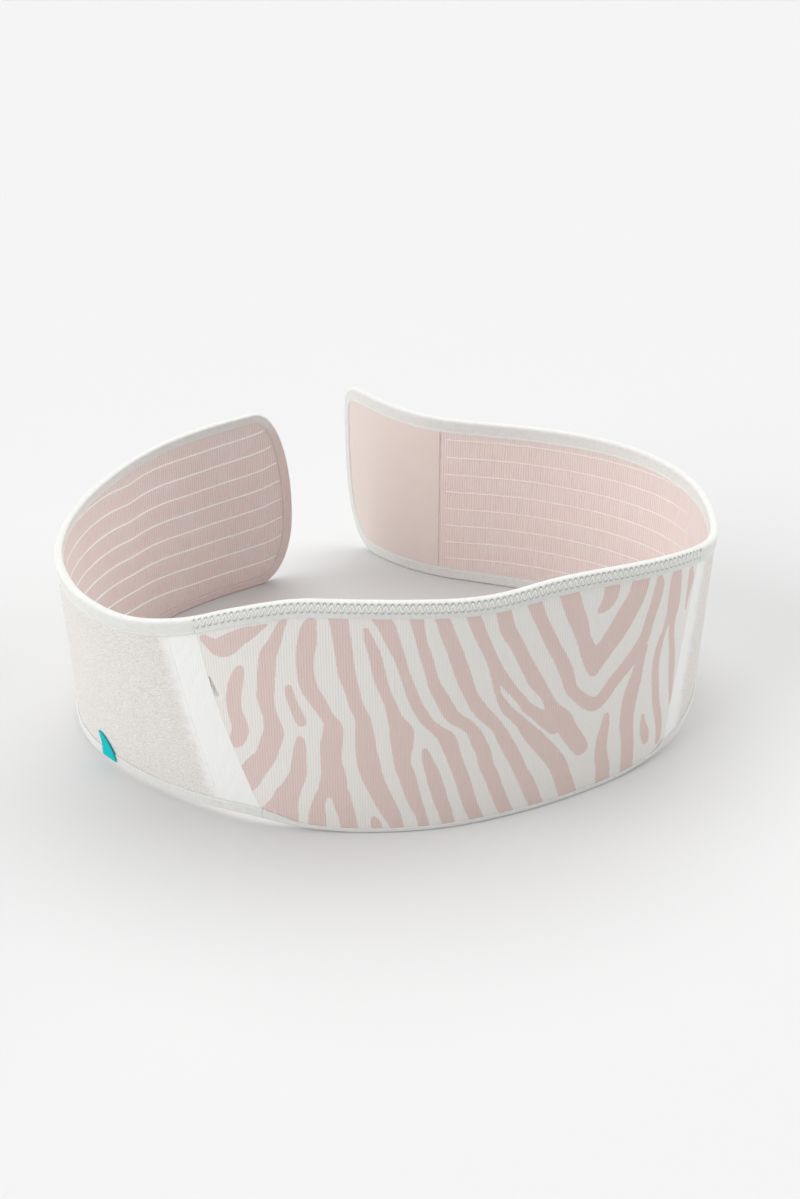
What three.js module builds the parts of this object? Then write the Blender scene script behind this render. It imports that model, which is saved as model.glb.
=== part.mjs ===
// Maternity support belt, unfastened and standing on its lower edge.
// Millimetres, +Z up. The printed front faces -Y, the tails open towards +Y,
// and the origin is on the floor at the middle of the belt's footprint.
//
// A place on the belt is given by s, the distance along the cloth from the tip
// of the left tail, z, the height, and out, the distance outwards from the
// middle of the wall. Left and right are as seen from in front.

import * as THREE from "three";

// Overall sizes
const BELT_LENGTH = 1054;
const FRONT_HEIGHT = 155;
const TAIL_HEIGHT = 128;
const EDGE_LIFT = 5;

// Cloth and its clearance
const CLOTH = 1.4;
const HOOK_CLOTH = 1;
const TAPE = 1;
const GAP = 0.3;

// Widths of the folded tapes on the cloth's face
const TOP_BINDING = 10;
const LOW_BINDING = 7.5;
const END_BINDING = 6.5;
const FRONT_TRIM = 10;
const FRONT_HEM = 3.2;

// Hook patch, from the tip of the right tail
const HOOK_LENGTH = 87;

// Tab on the lower edge, beside the front
const TAB_AT = 0.2665;
const TAB_WIDTH = 13.5;
const TAB_HEIGHT = 19;
const TAB_CORNER = 0.7;

// The belt's run from the left tip (at 0) to the right tip (at 1).
// heading: direction of the cloth in plan, degrees, 0 along +X
// bulge: how far the upper edge rises from the tails' height to the front's
// lift: lower edge's height off the floor, as a share of EDGE_LIFT
// lean: degrees that the wall leans outwards
const RUN = [
  { at: 0.0, heading: -172, bulge: 0.21, lift: 0, lean: 0 },
  { at: 0.05, heading: -167, bulge: 0.17, lift: 0, lean: 0 },
  { at: 0.1, heading: -151, bulge: 0.09, lift: 0, lean: 0 },
  { at: 0.15, heading: -133, bulge: 0, lift: 0, lean: -1 },
  { at: 0.2, heading: -111, bulge: 0, lift: 0.3, lean: -1 },
  { at: 0.25, heading: -82, bulge: 0, lift: 0.7, lean: 3 },
  { at: 0.28, heading: -65, bulge: 0, lift: 0.75, lean: 6 },
  { at: 0.31, heading: -51, bulge: 0, lift: 0.6, lean: 6 },
  { at: 0.34, heading: -43, bulge: 0.25, lift: 0.75, lean: 4 },
  { at: 0.37, heading: -35, bulge: 0.69, lift: 1, lean: 2 },
  { at: 0.4, heading: -27, bulge: 0.96, lift: 0.4, lean: 0 },
  { at: 0.43, heading: -21, bulge: 1, lift: 0, lean: 0 },
  { at: 0.46, heading: -14, bulge: 0.96, lift: 0, lean: 0 },
  { at: 0.5, heading: -2, bulge: 0.87, lift: 0, lean: 0 },
  { at: 0.54, heading: 5, bulge: 0.94, lift: 0, lean: 0 },
  { at: 0.58, heading: 11, bulge: 0.83, lift: 0, lean: 1 },
  { at: 0.62, heading: 26, bulge: 0.6, lift: 0.5, lean: 2 },
  { at: 0.66, heading: 49, bulge: 0.22, lift: 1, lean: 2 },
  { at: 0.7, heading: 67, bulge: 0, lift: 0.4, lean: 0 },
  { at: 0.75, heading: 98, bulge: 0, lift: 0, lean: 0 },
  { at: 0.8, heading: 124, bulge: 0, lift: 0, lean: 0 },
  { at: 0.85, heading: 140, bulge: -0.05, lift: 0, lean: 0 },
  { at: 0.9, heading: 144, bulge: -0.1, lift: 0, lean: 0 },
  { at: 0.93, heading: 132, bulge: -0.12, lift: 0, lean: 0 },
  { at: 0.96, heading: 118, bulge: -0.09, lift: 0, lean: 0 },
  { at: 1.0, heading: 107, bulge: -0.03, lift: 0, lean: 0 },
];

// The two tails. side: -1 where s starts, 1 where it ends. tip: height of the
// rounded end's furthest point, as a share of the wall's height. upper, lower:
// how far back the rounding reaches above and below the tip, as shares of
// TAIL_HEIGHT. square: 2 is a round end, more is squarer. loop, print: the
// lines across the belt where the loop fabric and the printed front end, as
// shares of BELT_LENGTH at the upper and lower edge, and the bow between them
const TAILS = {
  left: {
    side: -1,
    tip: 0.42,
    upper: 0.21,
    lower: 0.235,
    square: 2.2,
    loop: { top: 0.333, bottom: 0.354, bow: -0.002 },
    print: { top: 0.35, bottom: 0.379, bow: -0.005 },
  },
  right: {
    side: 1,
    tip: 0.82,
    upper: 0.14,
    lower: 0.3,
    square: 2.9,
    loop: { top: 0.6385, bottom: 0.6345, bow: 0 },
    print: { top: 0.6335, bottom: 0.6235, bow: 0 },
  },
};

// Numbers of facets
const PLAN_STEPS = 600;
const FRONT_COLUMNS = 30;
const TAIL_COLUMNS = 28;
const END_COLUMNS = 6;
const BAND_COLUMNS = 3;
const HOOK_COLUMNS = 6;
const TAB_COLUMNS = 4;
const ROWS = 5;

// Columns of a tail are counted from its tip, where it has no height
const FIRST_COLUMN = 1;
const LOOP_COLUMN = END_COLUMNS + TAIL_COLUMNS;
const PRINT_COLUMN = LOOP_COLUMN + BAND_COLUMNS;

// A tail's columns stand upright, and lean over to its slanted seam only near
// it: the lean grows as this power of the way there
const SLANT_POWER = 8;

// Half of the cloth's thickness, and of the tapes' hollow and outside
const CLOTH_HALF = CLOTH + GAP / 2;
const HOLLOW_HALF = CLOTH_HALF + GAP;
const TAPE_HALF = HOLLOW_HALF + TAPE;

// Inset of the cloth's edge from the belt's edge, inside the folded tape
const CLOTH_INSET = TAPE + GAP;

const COLOURS = {
  print: 0xdccfca,
  trim: 0xeeedeb,
  band: 0xeeefef,
  loop: 0xe2deda,
  elastic: 0xdecac4,
  hook: 0xdbcac0,
  tab: 0x00bcc3,
};

const mix = (from, to, share) => from + (to - from) * share;
const radians = THREE.MathUtils.degToRad;

// Value of one column of RUN at a share of the belt's length, on a smooth
// curve through the rows
function runValue(name, at) {
  const last = RUN.length - 1;
  const slope = (row) => {
    const before = RUN[Math.max(row - 1, 0)];
    const after = RUN[Math.min(row + 1, last)];
    return (after[name] - before[name]) / (after.at - before.at);
  };
  let row = 0;
  while (row < last - 1 && RUN[row + 1].at < at) row += 1;
  const from = RUN[row];
  const to = RUN[row + 1];
  const span = to.at - from.at;
  const t = (at - from.at) / span;
  const rise = t * t * (3 - 2 * t);
  const leave = t * (1 - t) * (1 - t) * span * slope(row);
  const arrive = t * t * (t - 1) * span * slope(row + 1);
  return mix(from[name], to[name], rise) + leave + arrive;
}

const highAt = (s) => mix(TAIL_HEIGHT, FRONT_HEIGHT, runValue("bulge", s / BELT_LENGTH));
const lowAt = (s) => EDGE_LIFT * Math.max(0, runValue("lift", s / BELT_LENGTH));

// Plan of the belt's middle line, by adding up its headings
function drawPlan() {
  const step = BELT_LENGTH / PLAN_STEPS;
  const points = [new THREE.Vector2(0, 0)];
  for (let i = 0; i < PLAN_STEPS; i += 1) {
    const heading = radians(runValue("heading", (i + 0.5) / PLAN_STEPS));
    const stride = new THREE.Vector2(Math.cos(heading), Math.sin(heading));
    points.push(points[i].clone().addScaledVector(stride, step));
  }
  return points;
}
const PLAN = drawPlan();

// A place on the belt, before it is centred on its footprint
function wallPoint(s, z, out) {
  const at = s / BELT_LENGTH;
  const step = Math.min(Math.floor(at * PLAN_STEPS), PLAN_STEPS - 1);
  const plan = PLAN[step].clone().lerp(PLAN[step + 1], at * PLAN_STEPS - step);
  const heading = radians(runValue("heading", at));
  const lean = Math.tan(radians(runValue("lean", at)));
  const offset = out + (z - TAIL_HEIGHT / 2) * lean;
  return new THREE.Vector3(
    plan.x + Math.sin(heading) * offset,
    plan.y - Math.cos(heading) * offset,
    z,
  );
}

// Middle of the footprint, from the wall's outside at both edges
function findCentre() {
  const box = new THREE.Box3();
  for (let i = 0; i <= PLAN_STEPS; i += 1) {
    const s = (BELT_LENGTH * i) / PLAN_STEPS;
    box.expandByPoint(wallPoint(s, lowAt(s), TAPE_HALF));
    box.expandByPoint(wallPoint(s, highAt(s), TAPE_HALF));
  }
  return box.getCenter(new THREE.Vector3()).setZ(0);
}
const CENTRE = findCentre();

const place = (s, z, out) => wallPoint(s, z, out).sub(CENTRE);

// s on a line across the belt, at a share of the height
function lineAt(line, share) {
  const bow = 4 * share * (1 - share) * line.bow;
  return BELT_LENGTH * (mix(line.bottom, line.top, share) + bow);
}

// Closed solid through a row of rings, all with the same corners. A ring runs
// up the outside of the wall and down its inside as s grows, and the facets on
// both sides are split along like diagonals. cap lists the triangles that
// close the first ring
function loft(rings, cap) {
  const corners = rings[0].length;
  const index = [];
  for (let i = 0; i < rings.length - 1; i += 1) {
    for (let j = 0; j < corners; j += 1) {
      const a = i * corners + j;
      const b = i * corners + ((j + 1) % corners);
      if (j < corners / 2) index.push(a, a + corners, b + corners, a, b + corners, b);
      else index.push(a, a + corners, b, b, a + corners, b + corners);
    }
  }
  const end = (rings.length - 1) * corners;
  for (const [a, b, c] of cap) {
    index.push(a, b, c, end + a, end + c, end + b);
  }
  const geometry = new THREE.BufferGeometry().setFromPoints(rings.flat());
  geometry.setIndex(index);
  geometry.computeVertexNormals();
  return geometry;
}

// Slab of cloth between two faces of the wall. point gives [s, z] at a column
// and a share of the height
function slab(columns, point, inside, outside) {
  const rings = [];
  for (let i = 0; i <= columns; i += 1) {
    const outer = [];
    const inner = [];
    for (let j = 0; j <= ROWS; j += 1) {
      const [s, z] = point(i, j / ROWS);
      outer.push(place(s, z, outside));
      inner.unshift(place(s, z, inside));
    }
    rings.push([...outer, ...inner]);
  }
  const cap = [];
  for (let j = 0; j < ROWS; j += 1) {
    const across = 2 * ROWS + 1 - j;
    cap.push([j, j + 1, across - 1], [j, across - 1, across]);
  }
  return loft(rings, cap);
}

// Tape folded over an edge of the wall. point gives [s, z] at a station and an
// inset from the edge, and width is the tape's width on the cloth
const CHANNEL_CAP = [
  [0, 1, 9], [1, 2, 3], [1, 3, 4], [1, 4, 9], [4, 5, 9],
  [5, 8, 9], [5, 6, 7], [5, 7, 8],
];
function channel(stations, point, width) {
  const rings = [];
  for (let i = 0; i <= stations; i += 1) {
    const at = (inset, out) => place(...point(i, inset), out);
    const ring = [
      at(0, TAPE_HALF - TAPE),
      at(TAPE, TAPE_HALF),
      at(width, TAPE_HALF),
      at(width, HOLLOW_HALF),
      at(TAPE, HOLLOW_HALF),
      at(TAPE, -HOLLOW_HALF),
      at(width, -HOLLOW_HALF),
      at(width, -TAPE_HALF),
      at(TAPE, -TAPE_HALF),
      at(0, TAPE - TAPE_HALF),
    ];
    rings.push(ring);
  }
  return loft(rings, CHANNEL_CAP);
}

// Start of a column's run, where the rounded end leaves off, and its rise from
// the tip's level to the edge. inset.end is measured at the tip
function rounding(tail, column, upper, inset) {
  const turn = Math.min(column / END_COLUMNS, 1) * (Math.PI / 2);
  const power = 2 / tail.square;
  const reach = (upper ? tail.upper : tail.lower) * TAIL_HEIGHT - inset.end;
  const back = inset.end + reach * (1 - Math.cos(turn) ** power);
  return {
    start: tail.side < 0 ? back : BELT_LENGTH - back,
    rise: Math.sin(turn) ** power,
  };
}

// s of a tail's column at a share of the height: along the loop fabric, then
// across the joining band to the print
function clothRun(tail, column, share, start) {
  const loop = lineAt(tail.loop, share);
  const past = column - LOOP_COLUMN;
  if (past > 0) return mix(loop, lineAt(tail.print, share), past / BAND_COLUMNS);
  const run = Math.max(0, column - END_COLUMNS) / TAIL_COLUMNS;
  const middle = lineAt(tail.loop, 0.5);
  return mix(start, middle, run) + (loop - middle) * run ** SLANT_POWER;
}

// s of the hook patch's column, from the tail's rounded end to its length
function hookRun(tail, column, share, start) {
  const run = Math.max(0, column - END_COLUMNS) / HOOK_COLUMNS;
  return mix(start, BELT_LENGTH - HOOK_LENGTH, run);
}

// A column's end at one edge of a tail. inset.edge is measured from that edge
function tailEdge(tail, column, upper, inset, runAt) {
  const { start, rise } = rounding(tail, column, upper, inset);
  const s = runAt(tail, column, upper ? 1 : 0, start);
  const tip = mix(lowAt(s), highAt(s), tail.tip);
  const edge = upper ? highAt(s) - inset.edge : lowAt(s) + inset.edge;
  return { start, s, z: mix(tip, edge, rise) };
}

// Half of the gap beside a seam, towards the front or away from it
function seamGap(tail, column, first, last) {
  if (column === last) return (tail.side * GAP) / 2;
  if (column === first && first >= LOOP_COLUMN) return (-tail.side * GAP) / 2;
  return 0;
}

// Layer of a tail between two of its columns and two faces of the wall
function tailSlab(tail, first, last, insets, inside, outside, runAt = clothRun) {
  const point = (i, share) => {
    const column = tail.side < 0 ? first + i : last - i;
    const low = tailEdge(tail, column, false, insets.lower, runAt);
    const high = tailEdge(tail, column, true, insets.upper, runAt);
    const s = runAt(tail, column, share, mix(low.start, high.start, share));
    const gap = seamGap(tail, column, first, last);
    return [s + gap, mix(low.z, high.z, share)];
  };
  return slab(last - first, point, inside, outside);
}

// Cloth layer, whose edges lie inside the folded tape
function tailCloth(tail, first, last, inside, outside) {
  const inset = { end: CLOTH_INSET, edge: CLOTH_INSET };
  return tailSlab(tail, first, last, { lower: inset, upper: inset }, inside, outside);
}

// Hook patch, within the folded tape and flush with it
function hookPatch(tail) {
  const insets = {
    lower: { end: END_BINDING + GAP, edge: LOW_BINDING + GAP },
    upper: { end: END_BINDING + GAP, edge: TOP_BINDING + GAP },
  };
  const last = END_COLUMNS + HOOK_COLUMNS;
  const outside = -CLOTH_HALF - GAP;
  const inside = outside - HOOK_CLOTH;
  return tailSlab(tail, FIRST_COLUMN, last, insets, inside, outside, hookRun);
}

// Binding of a tail: along one edge, round the end and back along the other
function tailBinding(tail) {
  const insetAt = (upper, inset) => {
    const share = Math.max(0, (inset - TAPE) / (END_BINDING - TAPE));
    const width = upper ? TOP_BINDING : LOW_BINDING;
    return { end: inset, edge: mix(Math.min(inset, TAPE), width, share) };
  };
  const point = (i, inset) => {
    const column = Math.abs(PRINT_COLUMN - i);
    const upper = tail.side < 0 ? i < PRINT_COLUMN : i > PRINT_COLUMN;
    const edge = tailEdge(tail, column, upper, insetAt(upper, inset), clothRun);
    return [edge.s + seamGap(tail, column, 0, PRINT_COLUMN), edge.z];
  };
  return channel(2 * PRINT_COLUMN, point, END_BINDING);
}

// A place on the printed front, between its two seams
function frontPoint(share, height, lowInset, highInset) {
  const left = lineAt(TAILS.left.print, height) + GAP / 2;
  const right = lineAt(TAILS.right.print, height) - GAP / 2;
  const s = mix(left, right, share);
  return [s, mix(lowAt(s) + lowInset, highAt(s) - highInset, height)];
}

function frontPanel() {
  const point = (i, height) =>
    frontPoint(i / FRONT_COLUMNS, height, CLOTH_INSET, CLOTH_INSET);
  return slab(FRONT_COLUMNS, point, -CLOTH_HALF, CLOTH_HALF);
}

function frontTopTrim() {
  const point = (i, inset) => frontPoint(1 - i / FRONT_COLUMNS, 1, 0, inset);
  return channel(FRONT_COLUMNS, point, FRONT_TRIM);
}

function frontBottomHem() {
  const point = (i, inset) => frontPoint(i / FRONT_COLUMNS, 0, inset, 0);
  return channel(FRONT_COLUMNS, point, FRONT_HEM);
}

// Tab on the outside of the lower binding, cut away at one upper corner
function sideTab() {
  const point = (i, height) => {
    const share = i / TAB_COLUMNS;
    const s = BELT_LENGTH * TAB_AT + TAB_WIDTH * share;
    const top = TAB_HEIGHT * (1 - TAB_CORNER * share ** 3);
    return [s, lowAt(s) + top * height];
  };
  return slab(TAB_COLUMNS, point, TAPE_HALF + GAP, TAPE_HALF + GAP + TAPE);
}

function addPiece(group, name, geometry, color, roughness) {
  const material = new THREE.MeshStandardMaterial({ color, roughness, metalness: 0 });
  const mesh = new THREE.Mesh(geometry, material);
  mesh.name = name;
  group.add(mesh);
}

const belt = new THREE.Group();
addPiece(belt, "front_panel", frontPanel(), COLOURS.print, 0.9);
addPiece(belt, "front_top_trim", frontTopTrim(), COLOURS.trim, 0.8);
addPiece(belt, "front_bottom_hem", frontBottomHem(), COLOURS.trim, 0.8);

for (const [hand, tail] of Object.entries(TAILS)) {
  const outer = tailCloth(tail, FIRST_COLUMN, LOOP_COLUMN, GAP / 2, CLOTH_HALF);
  const band = tailCloth(tail, LOOP_COLUMN, PRINT_COLUMN, GAP / 2, CLOTH_HALF);
  const inner = tailCloth(tail, FIRST_COLUMN, PRINT_COLUMN, -CLOTH_HALF, -GAP / 2);
  addPiece(belt, `side_panel_${hand}`, outer, COLOURS.loop, 0.95);
  addPiece(belt, `joining_band_${hand}`, band, COLOURS.band, 0.7);
  addPiece(belt, `tail_elastic_${hand}`, inner, COLOURS.elastic, 0.85);
  addPiece(belt, `side_binding_${hand}`, tailBinding(tail), COLOURS.trim, 0.8);
}
addPiece(belt, "hook_patch", hookPatch(TAILS.right), COLOURS.hook, 0.75);
addPiece(belt, "side_tab", sideTab(), COLOURS.tab, 0.6);

export default belt;
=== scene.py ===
"""Looks of the maternity support belt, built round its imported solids.

Metres, +Z up. A place on the belt is given by s, the distance along the cloth
from the tip of the left tail, z, the height off the floor, and out, the
distance outwards from the middle of the wall. Left and right are as seen from
in front. Each piece is cut flat, thickened, folded where it is a tape, and
then laid on the belt's run.
"""

import logging
import math
from collections.abc import Callable
from dataclasses import dataclass, field
from enum import Enum
from functools import cached_property
from typing import ClassVar

import bmesh
import bpy
import numpy as np
from numpy.typing import NDArray
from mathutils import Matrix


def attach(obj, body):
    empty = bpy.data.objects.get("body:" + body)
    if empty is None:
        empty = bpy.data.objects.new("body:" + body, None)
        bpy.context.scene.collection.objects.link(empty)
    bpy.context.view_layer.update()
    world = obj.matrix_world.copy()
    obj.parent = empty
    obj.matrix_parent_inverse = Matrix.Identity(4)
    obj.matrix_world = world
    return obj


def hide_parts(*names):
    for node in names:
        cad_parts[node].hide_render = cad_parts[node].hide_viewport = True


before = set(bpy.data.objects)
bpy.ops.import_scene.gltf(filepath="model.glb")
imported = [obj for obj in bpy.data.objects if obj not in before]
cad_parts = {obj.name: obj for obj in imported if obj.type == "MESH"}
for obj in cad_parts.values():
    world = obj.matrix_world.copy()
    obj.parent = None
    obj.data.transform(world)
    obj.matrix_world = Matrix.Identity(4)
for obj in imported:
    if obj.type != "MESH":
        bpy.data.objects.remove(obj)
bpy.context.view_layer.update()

Floats = NDArray[np.float64]
Colour = tuple[float, float, float]
Warp = Callable[[Floats, Floats, Floats], tuple[Floats, Floats, Floats]]
Relief = Callable[[Floats, Floats, Floats], Floats]

MM = 0.001
log = logging.getLogger("belt")

# Cloth, its clearance, and the tapes folded over its edge
CLOTH = 1.4 * MM
TAPE = 1.0 * MM
GAP = 0.3 * MM
SEAM = 0.04 * MM
CLOTH_HALF = CLOTH + GAP / 2
HOLLOW_HALF = CLOTH_HALF + GAP
TAPE_HALF = HOLLOW_HALF + TAPE
CLOTH_INSET = 2.0 * MM

# Edges sharper than these are kept sharp, or rounded where a cloth is cut
SMOOTH_ANGLE = math.radians(50)
CUT_ANGLE = math.radians(60)


class Slot(Enum):
    """The record's material slots."""

    PRINT = "print"
    TRIM = "trim"
    BAND = "band"
    LOOP = "loop"
    ELASTIC = "elastic"
    HOOK = "hook"
    TAB = "tab"


class Edge(Enum):
    """An edge of the belt, with its share of the wall's height."""

    LOWER = 0.0
    UPPER = 1.0


class Face(Enum):
    """A face of the belt, with the sign of its distance from the middle."""

    OUTSIDE = 1
    INSIDE = -1


class Held(Enum):
    """How a sheet is held in the belt."""

    STRETCHED = "stretched"
    FOLDED = "folded"
    LAID = "laid"


def mix(low: Floats, high: Floats, share: Floats) -> Floats:
    """Value at a share of the way from low to high."""
    return low + (high - low) * share


def smooth_step(value: Floats, start: float, end: float) -> Floats:
    """Smooth rise from 0 at start to 1 at end."""
    share = np.clip((value - start) / (end - start), 0, 1)
    return share * share * (3 - 2 * share)


def dimmed(colour: Colour, share: float) -> Colour:
    """A share of a colour's brightness."""
    return tuple(channel * share for channel in colour)


def segment_gap(s: Floats, z: Floats, start: Floats, end: Floats) -> tuple[Floats, Floats]:
    """Measures places on the cloth against a straight line.

    Args:
        s: Distances along the belt.
        z: Heights.
        start: s and z of the line's start.
        end: s and z of its end.

    Returns:
        The distance from the line, and how far along it its nearest point is, 0 to 1.
    """
    ds, dz = end[0] - start[0], end[1] - start[1]
    t = np.clip(((s - start[0]) * ds + (z - start[1]) * dz) / (ds * ds + dz * dz), 0, 1)
    return np.hypot(s - start[0] - t * ds, z - start[1] - t * dz), t


def linear(red: int, green: int, blue: int) -> Colour:
    """Linear colour of a screen colour of 0 to 255."""
    shares = (channel / 255 for channel in (red, green, blue))
    return tuple(((share + 0.055) / 1.055) ** 2.4 for share in shares)


def hermite(knots: Floats, values: Floats, at: Floats) -> Floats:
    """Smooth curve through a table's rows.

    Args:
        knots: Places of the rows, in rising order.
        values: Values of the rows.
        at: Places to read the curve at.

    Returns:
        The curve's values at those places.
    """
    slope = np.empty_like(values)
    slope[1:-1] = (values[2:] - values[:-2]) / (knots[2:] - knots[:-2])
    slope[0] = (values[1] - values[0]) / (knots[1] - knots[0])
    slope[-1] = (values[-1] - values[-2]) / (knots[-1] - knots[-2])
    row = np.clip(np.searchsorted(knots, at) - 1, 0, len(knots) - 2)
    span = knots[row + 1] - knots[row]
    t = (at - knots[row]) / span
    leave = t * (1 - t) ** 2 * span * slope[row]
    arrive = t**2 * (t - 1) * span * slope[row + 1]
    return mix(values[row], values[row + 1], t**2 * (3 - 2 * t)) + leave + arrive


@dataclass(frozen=True)
class Station:
    """A row of the belt's run.

    Attributes:
        at: Share of the belt's length, from the left tip.
        heading: Direction of the cloth in plan, degrees, 0 along +X.
        bulge: Rise of the upper edge from the tails' height to the front's.
        lift: Lower edge's height off the floor, as a share of edge_lift.
        lean: Degrees that the wall leans outwards.
    """

    at: float
    heading: float
    bulge: float
    lift: float
    lean: float


RUN = (
    Station(0.00, -172, 0.21, 0.0, 0),
    Station(0.05, -167, 0.17, 0.0, 0),
    Station(0.10, -151, 0.09, 0.0, 0),
    Station(0.15, -133, 0.00, 0.0, -1),
    Station(0.20, -111, 0.00, 0.3, -1),
    Station(0.25, -82, 0.00, 0.7, 3),
    Station(0.28, -65, 0.00, 0.75, 6),
    Station(0.31, -51, 0.00, 0.6, 6),
    Station(0.34, -43, 0.25, 0.75, 4),
    Station(0.37, -35, 0.69, 1.0, 2),
    Station(0.40, -27, 0.96, 0.4, 0),
    Station(0.43, -21, 1.00, 0.0, 0),
    Station(0.46, -14, 0.96, 0.0, 0),
    Station(0.50, -2, 0.87, 0.0, 0),
    Station(0.54, 5, 0.94, 0.0, 0),
    Station(0.58, 11, 0.83, 0.0, 1),
    Station(0.62, 26, 0.60, 0.5, 2),
    Station(0.66, 49, 0.22, 1.0, 2),
    Station(0.70, 67, 0.00, 0.4, 0),
    Station(0.75, 98, 0.00, 0.0, 0),
    Station(0.80, 124, 0.00, 0.0, 0),
    Station(0.85, 140, -0.05, 0.0, 0),
    Station(0.90, 144, -0.10, 0.0, 0),
    Station(0.93, 132, -0.12, 0.0, 0),
    Station(0.96, 118, -0.09, 0.0, 0),
    Station(1.00, 107, -0.03, 0.0, 0),
)


@dataclass
class BeltRun:
    """The belt's run over the floor, from the left tip to the right one."""

    stations: tuple[Station, ...] = RUN
    length: float = 1054 * MM
    front_height: float = 155 * MM
    tail_height: float = 128 * MM
    edge_lift: float = 5 * MM
    steps: int = 600
    plan: Floats = field(init=False)
    centre: Floats = field(init=False)

    def __post_init__(self) -> None:
        """Draws the plan by adding up its headings, and centres it."""
        step = self.length / self.steps
        heading = np.radians(self.value("heading", (np.arange(self.steps) + 0.5) * step))
        strides = step * np.stack([np.cos(heading), np.sin(heading)], axis=1)
        self.plan = np.vstack([np.zeros((1, 2)), np.cumsum(strides, axis=0)])
        self.centre = np.zeros(3)
        s = np.linspace(0, self.length, self.steps + 1)
        edges = (self.low(s), self.high(s))
        rims = np.vstack([self.place(s, edge, TAPE_HALF) for edge in edges])
        middle = (rims.min(0) + rims.max(0)) / 2
        self.centre = np.array([middle[0], middle[1], 0.0])

    def value(self, column: str, s: Floats) -> Floats:
        """Value of one column of the run's table at s.

        Args:
            column: Name of the column.
            s: Distances along the belt.

        Returns:
            The column's values.
        """
        knots = np.array([row.at for row in self.stations])
        values = np.array([getattr(row, column) for row in self.stations], float)
        return hermite(knots, values, s / self.length)

    def high(self, s: Floats) -> Floats:
        """Height of the upper edge at s."""
        return mix(self.tail_height, self.front_height, self.value("bulge", s))

    def low(self, s: Floats) -> Floats:
        """Height of the lower edge at s."""
        return self.edge_lift * np.maximum(0, self.value("lift", s))

    def share(self, s: Floats, z: Floats) -> Floats:
        """Height as a share of the wall's at s."""
        return (z - self.low(s)) / (self.high(s) - self.low(s))

    def place(self, s: Floats, z: Floats, out: Floats) -> Floats:
        """Points on the belt.

        Args:
            s: Distances along the cloth.
            z: Heights.
            out: Distances outwards from the middle of the wall.

        Returns:
            One point a row, in the part's frame.
        """
        travelled = np.clip(s / self.length, 0, 1) * self.steps
        count = np.arange(self.steps + 1)
        heading = np.radians(self.value("heading", s))
        lean = np.tan(np.radians(self.value("lean", s)))
        offset = out + (z - self.tail_height / 2) * lean
        x = np.interp(travelled, count, self.plan[:, 0]) + np.sin(heading) * offset
        y = np.interp(travelled, count, self.plan[:, 1]) - np.cos(heading) * offset
        return np.stack([x, y, z + 0 * x], axis=1) - self.centre


BELT = BeltRun()


@dataclass(frozen=True)
class SeamLine:
    """A seam across the belt, as shares of the belt's length."""

    top: float
    bottom: float
    bow: float

    def at(self, share: Floats) -> Floats:
        """s on the seam at a share of the wall's height."""
        bow = 4 * share * (1 - share) * self.bow
        return BELT.length * (mix(self.bottom, self.top, share) + bow)


@dataclass(frozen=True)
class TailShape:
    """Outline of one tail.

    Attributes:
        hand: Name of the tail's side.
        side: -1 where s starts, 1 where it ends.
        tip: Height of the end's furthest point, as a share of the wall's.
        upper: Reach of the end's rounding above the tip, in tail heights.
        lower: Reach of the end's rounding below the tip, in tail heights.
        square: 2 is a round end, more is squarer.
        loop: Seam where the loop fabric ends.
        print: Seam where the printed front begins.
    """

    hand: str
    side: int
    tip: float
    upper: float
    lower: float
    square: float
    loop: SeamLine
    print: SeamLine

    def s_at(self, back: Floats) -> Floats:
        """s at a distance back from the tail's tip."""
        return back if self.side < 0 else BELT.length - back

    def rise(self, back: Floats, reach: float, inset: float) -> Floats:
        """Rise from the tip's level to an edge, 0 to 1, at a distance back from the tip.

        Args:
            back: Distances back from the tip.
            reach: Reach of the rounding, in tail heights.
            inset: Inset of the cloth from the tip.

        Returns:
            The rises.
        """
        room = reach * BELT.tail_height - inset
        short = np.clip(1 - (back - inset) / room, 0, 1)
        return (1 - short**self.square) ** (1 / self.square)

    def edges(
        self, s: Floats, end_inset: float, low_inset: float, high_inset: float
    ) -> tuple[Floats, Floats]:
        """Heights of the lower and the upper edge of a cloth.

        Args:
            s: Distances along the belt.
            end_inset: Inset from the tail's tip.
            low_inset: Inset from the lower edge.
            high_inset: Inset from the upper edge.

        Returns:
            The lower edge's heights and the upper edge's.
        """
        back = self.s_at(s)
        low, high = BELT.low(s), BELT.high(s)
        tip = mix(low, high, self.tip)
        lower = mix(tip, low + low_inset, self.rise(back, self.lower, end_inset))
        upper = mix(tip, high - high_inset, self.rise(back, self.upper, end_inset))
        return lower, upper


LEFT = TailShape(
    "left", -1, tip=0.42, upper=0.21, lower=0.235, square=2.2,
    loop=SeamLine(0.333, 0.354, -0.002), print=SeamLine(0.35, 0.379, -0.005),
)
RIGHT = TailShape(
    "right", 1, tip=0.82, upper=0.14, lower=0.3, square=2.9,
    loop=SeamLine(0.6385, 0.6345, 0), print=SeamLine(0.6335, 0.6235, 0),
)


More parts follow.
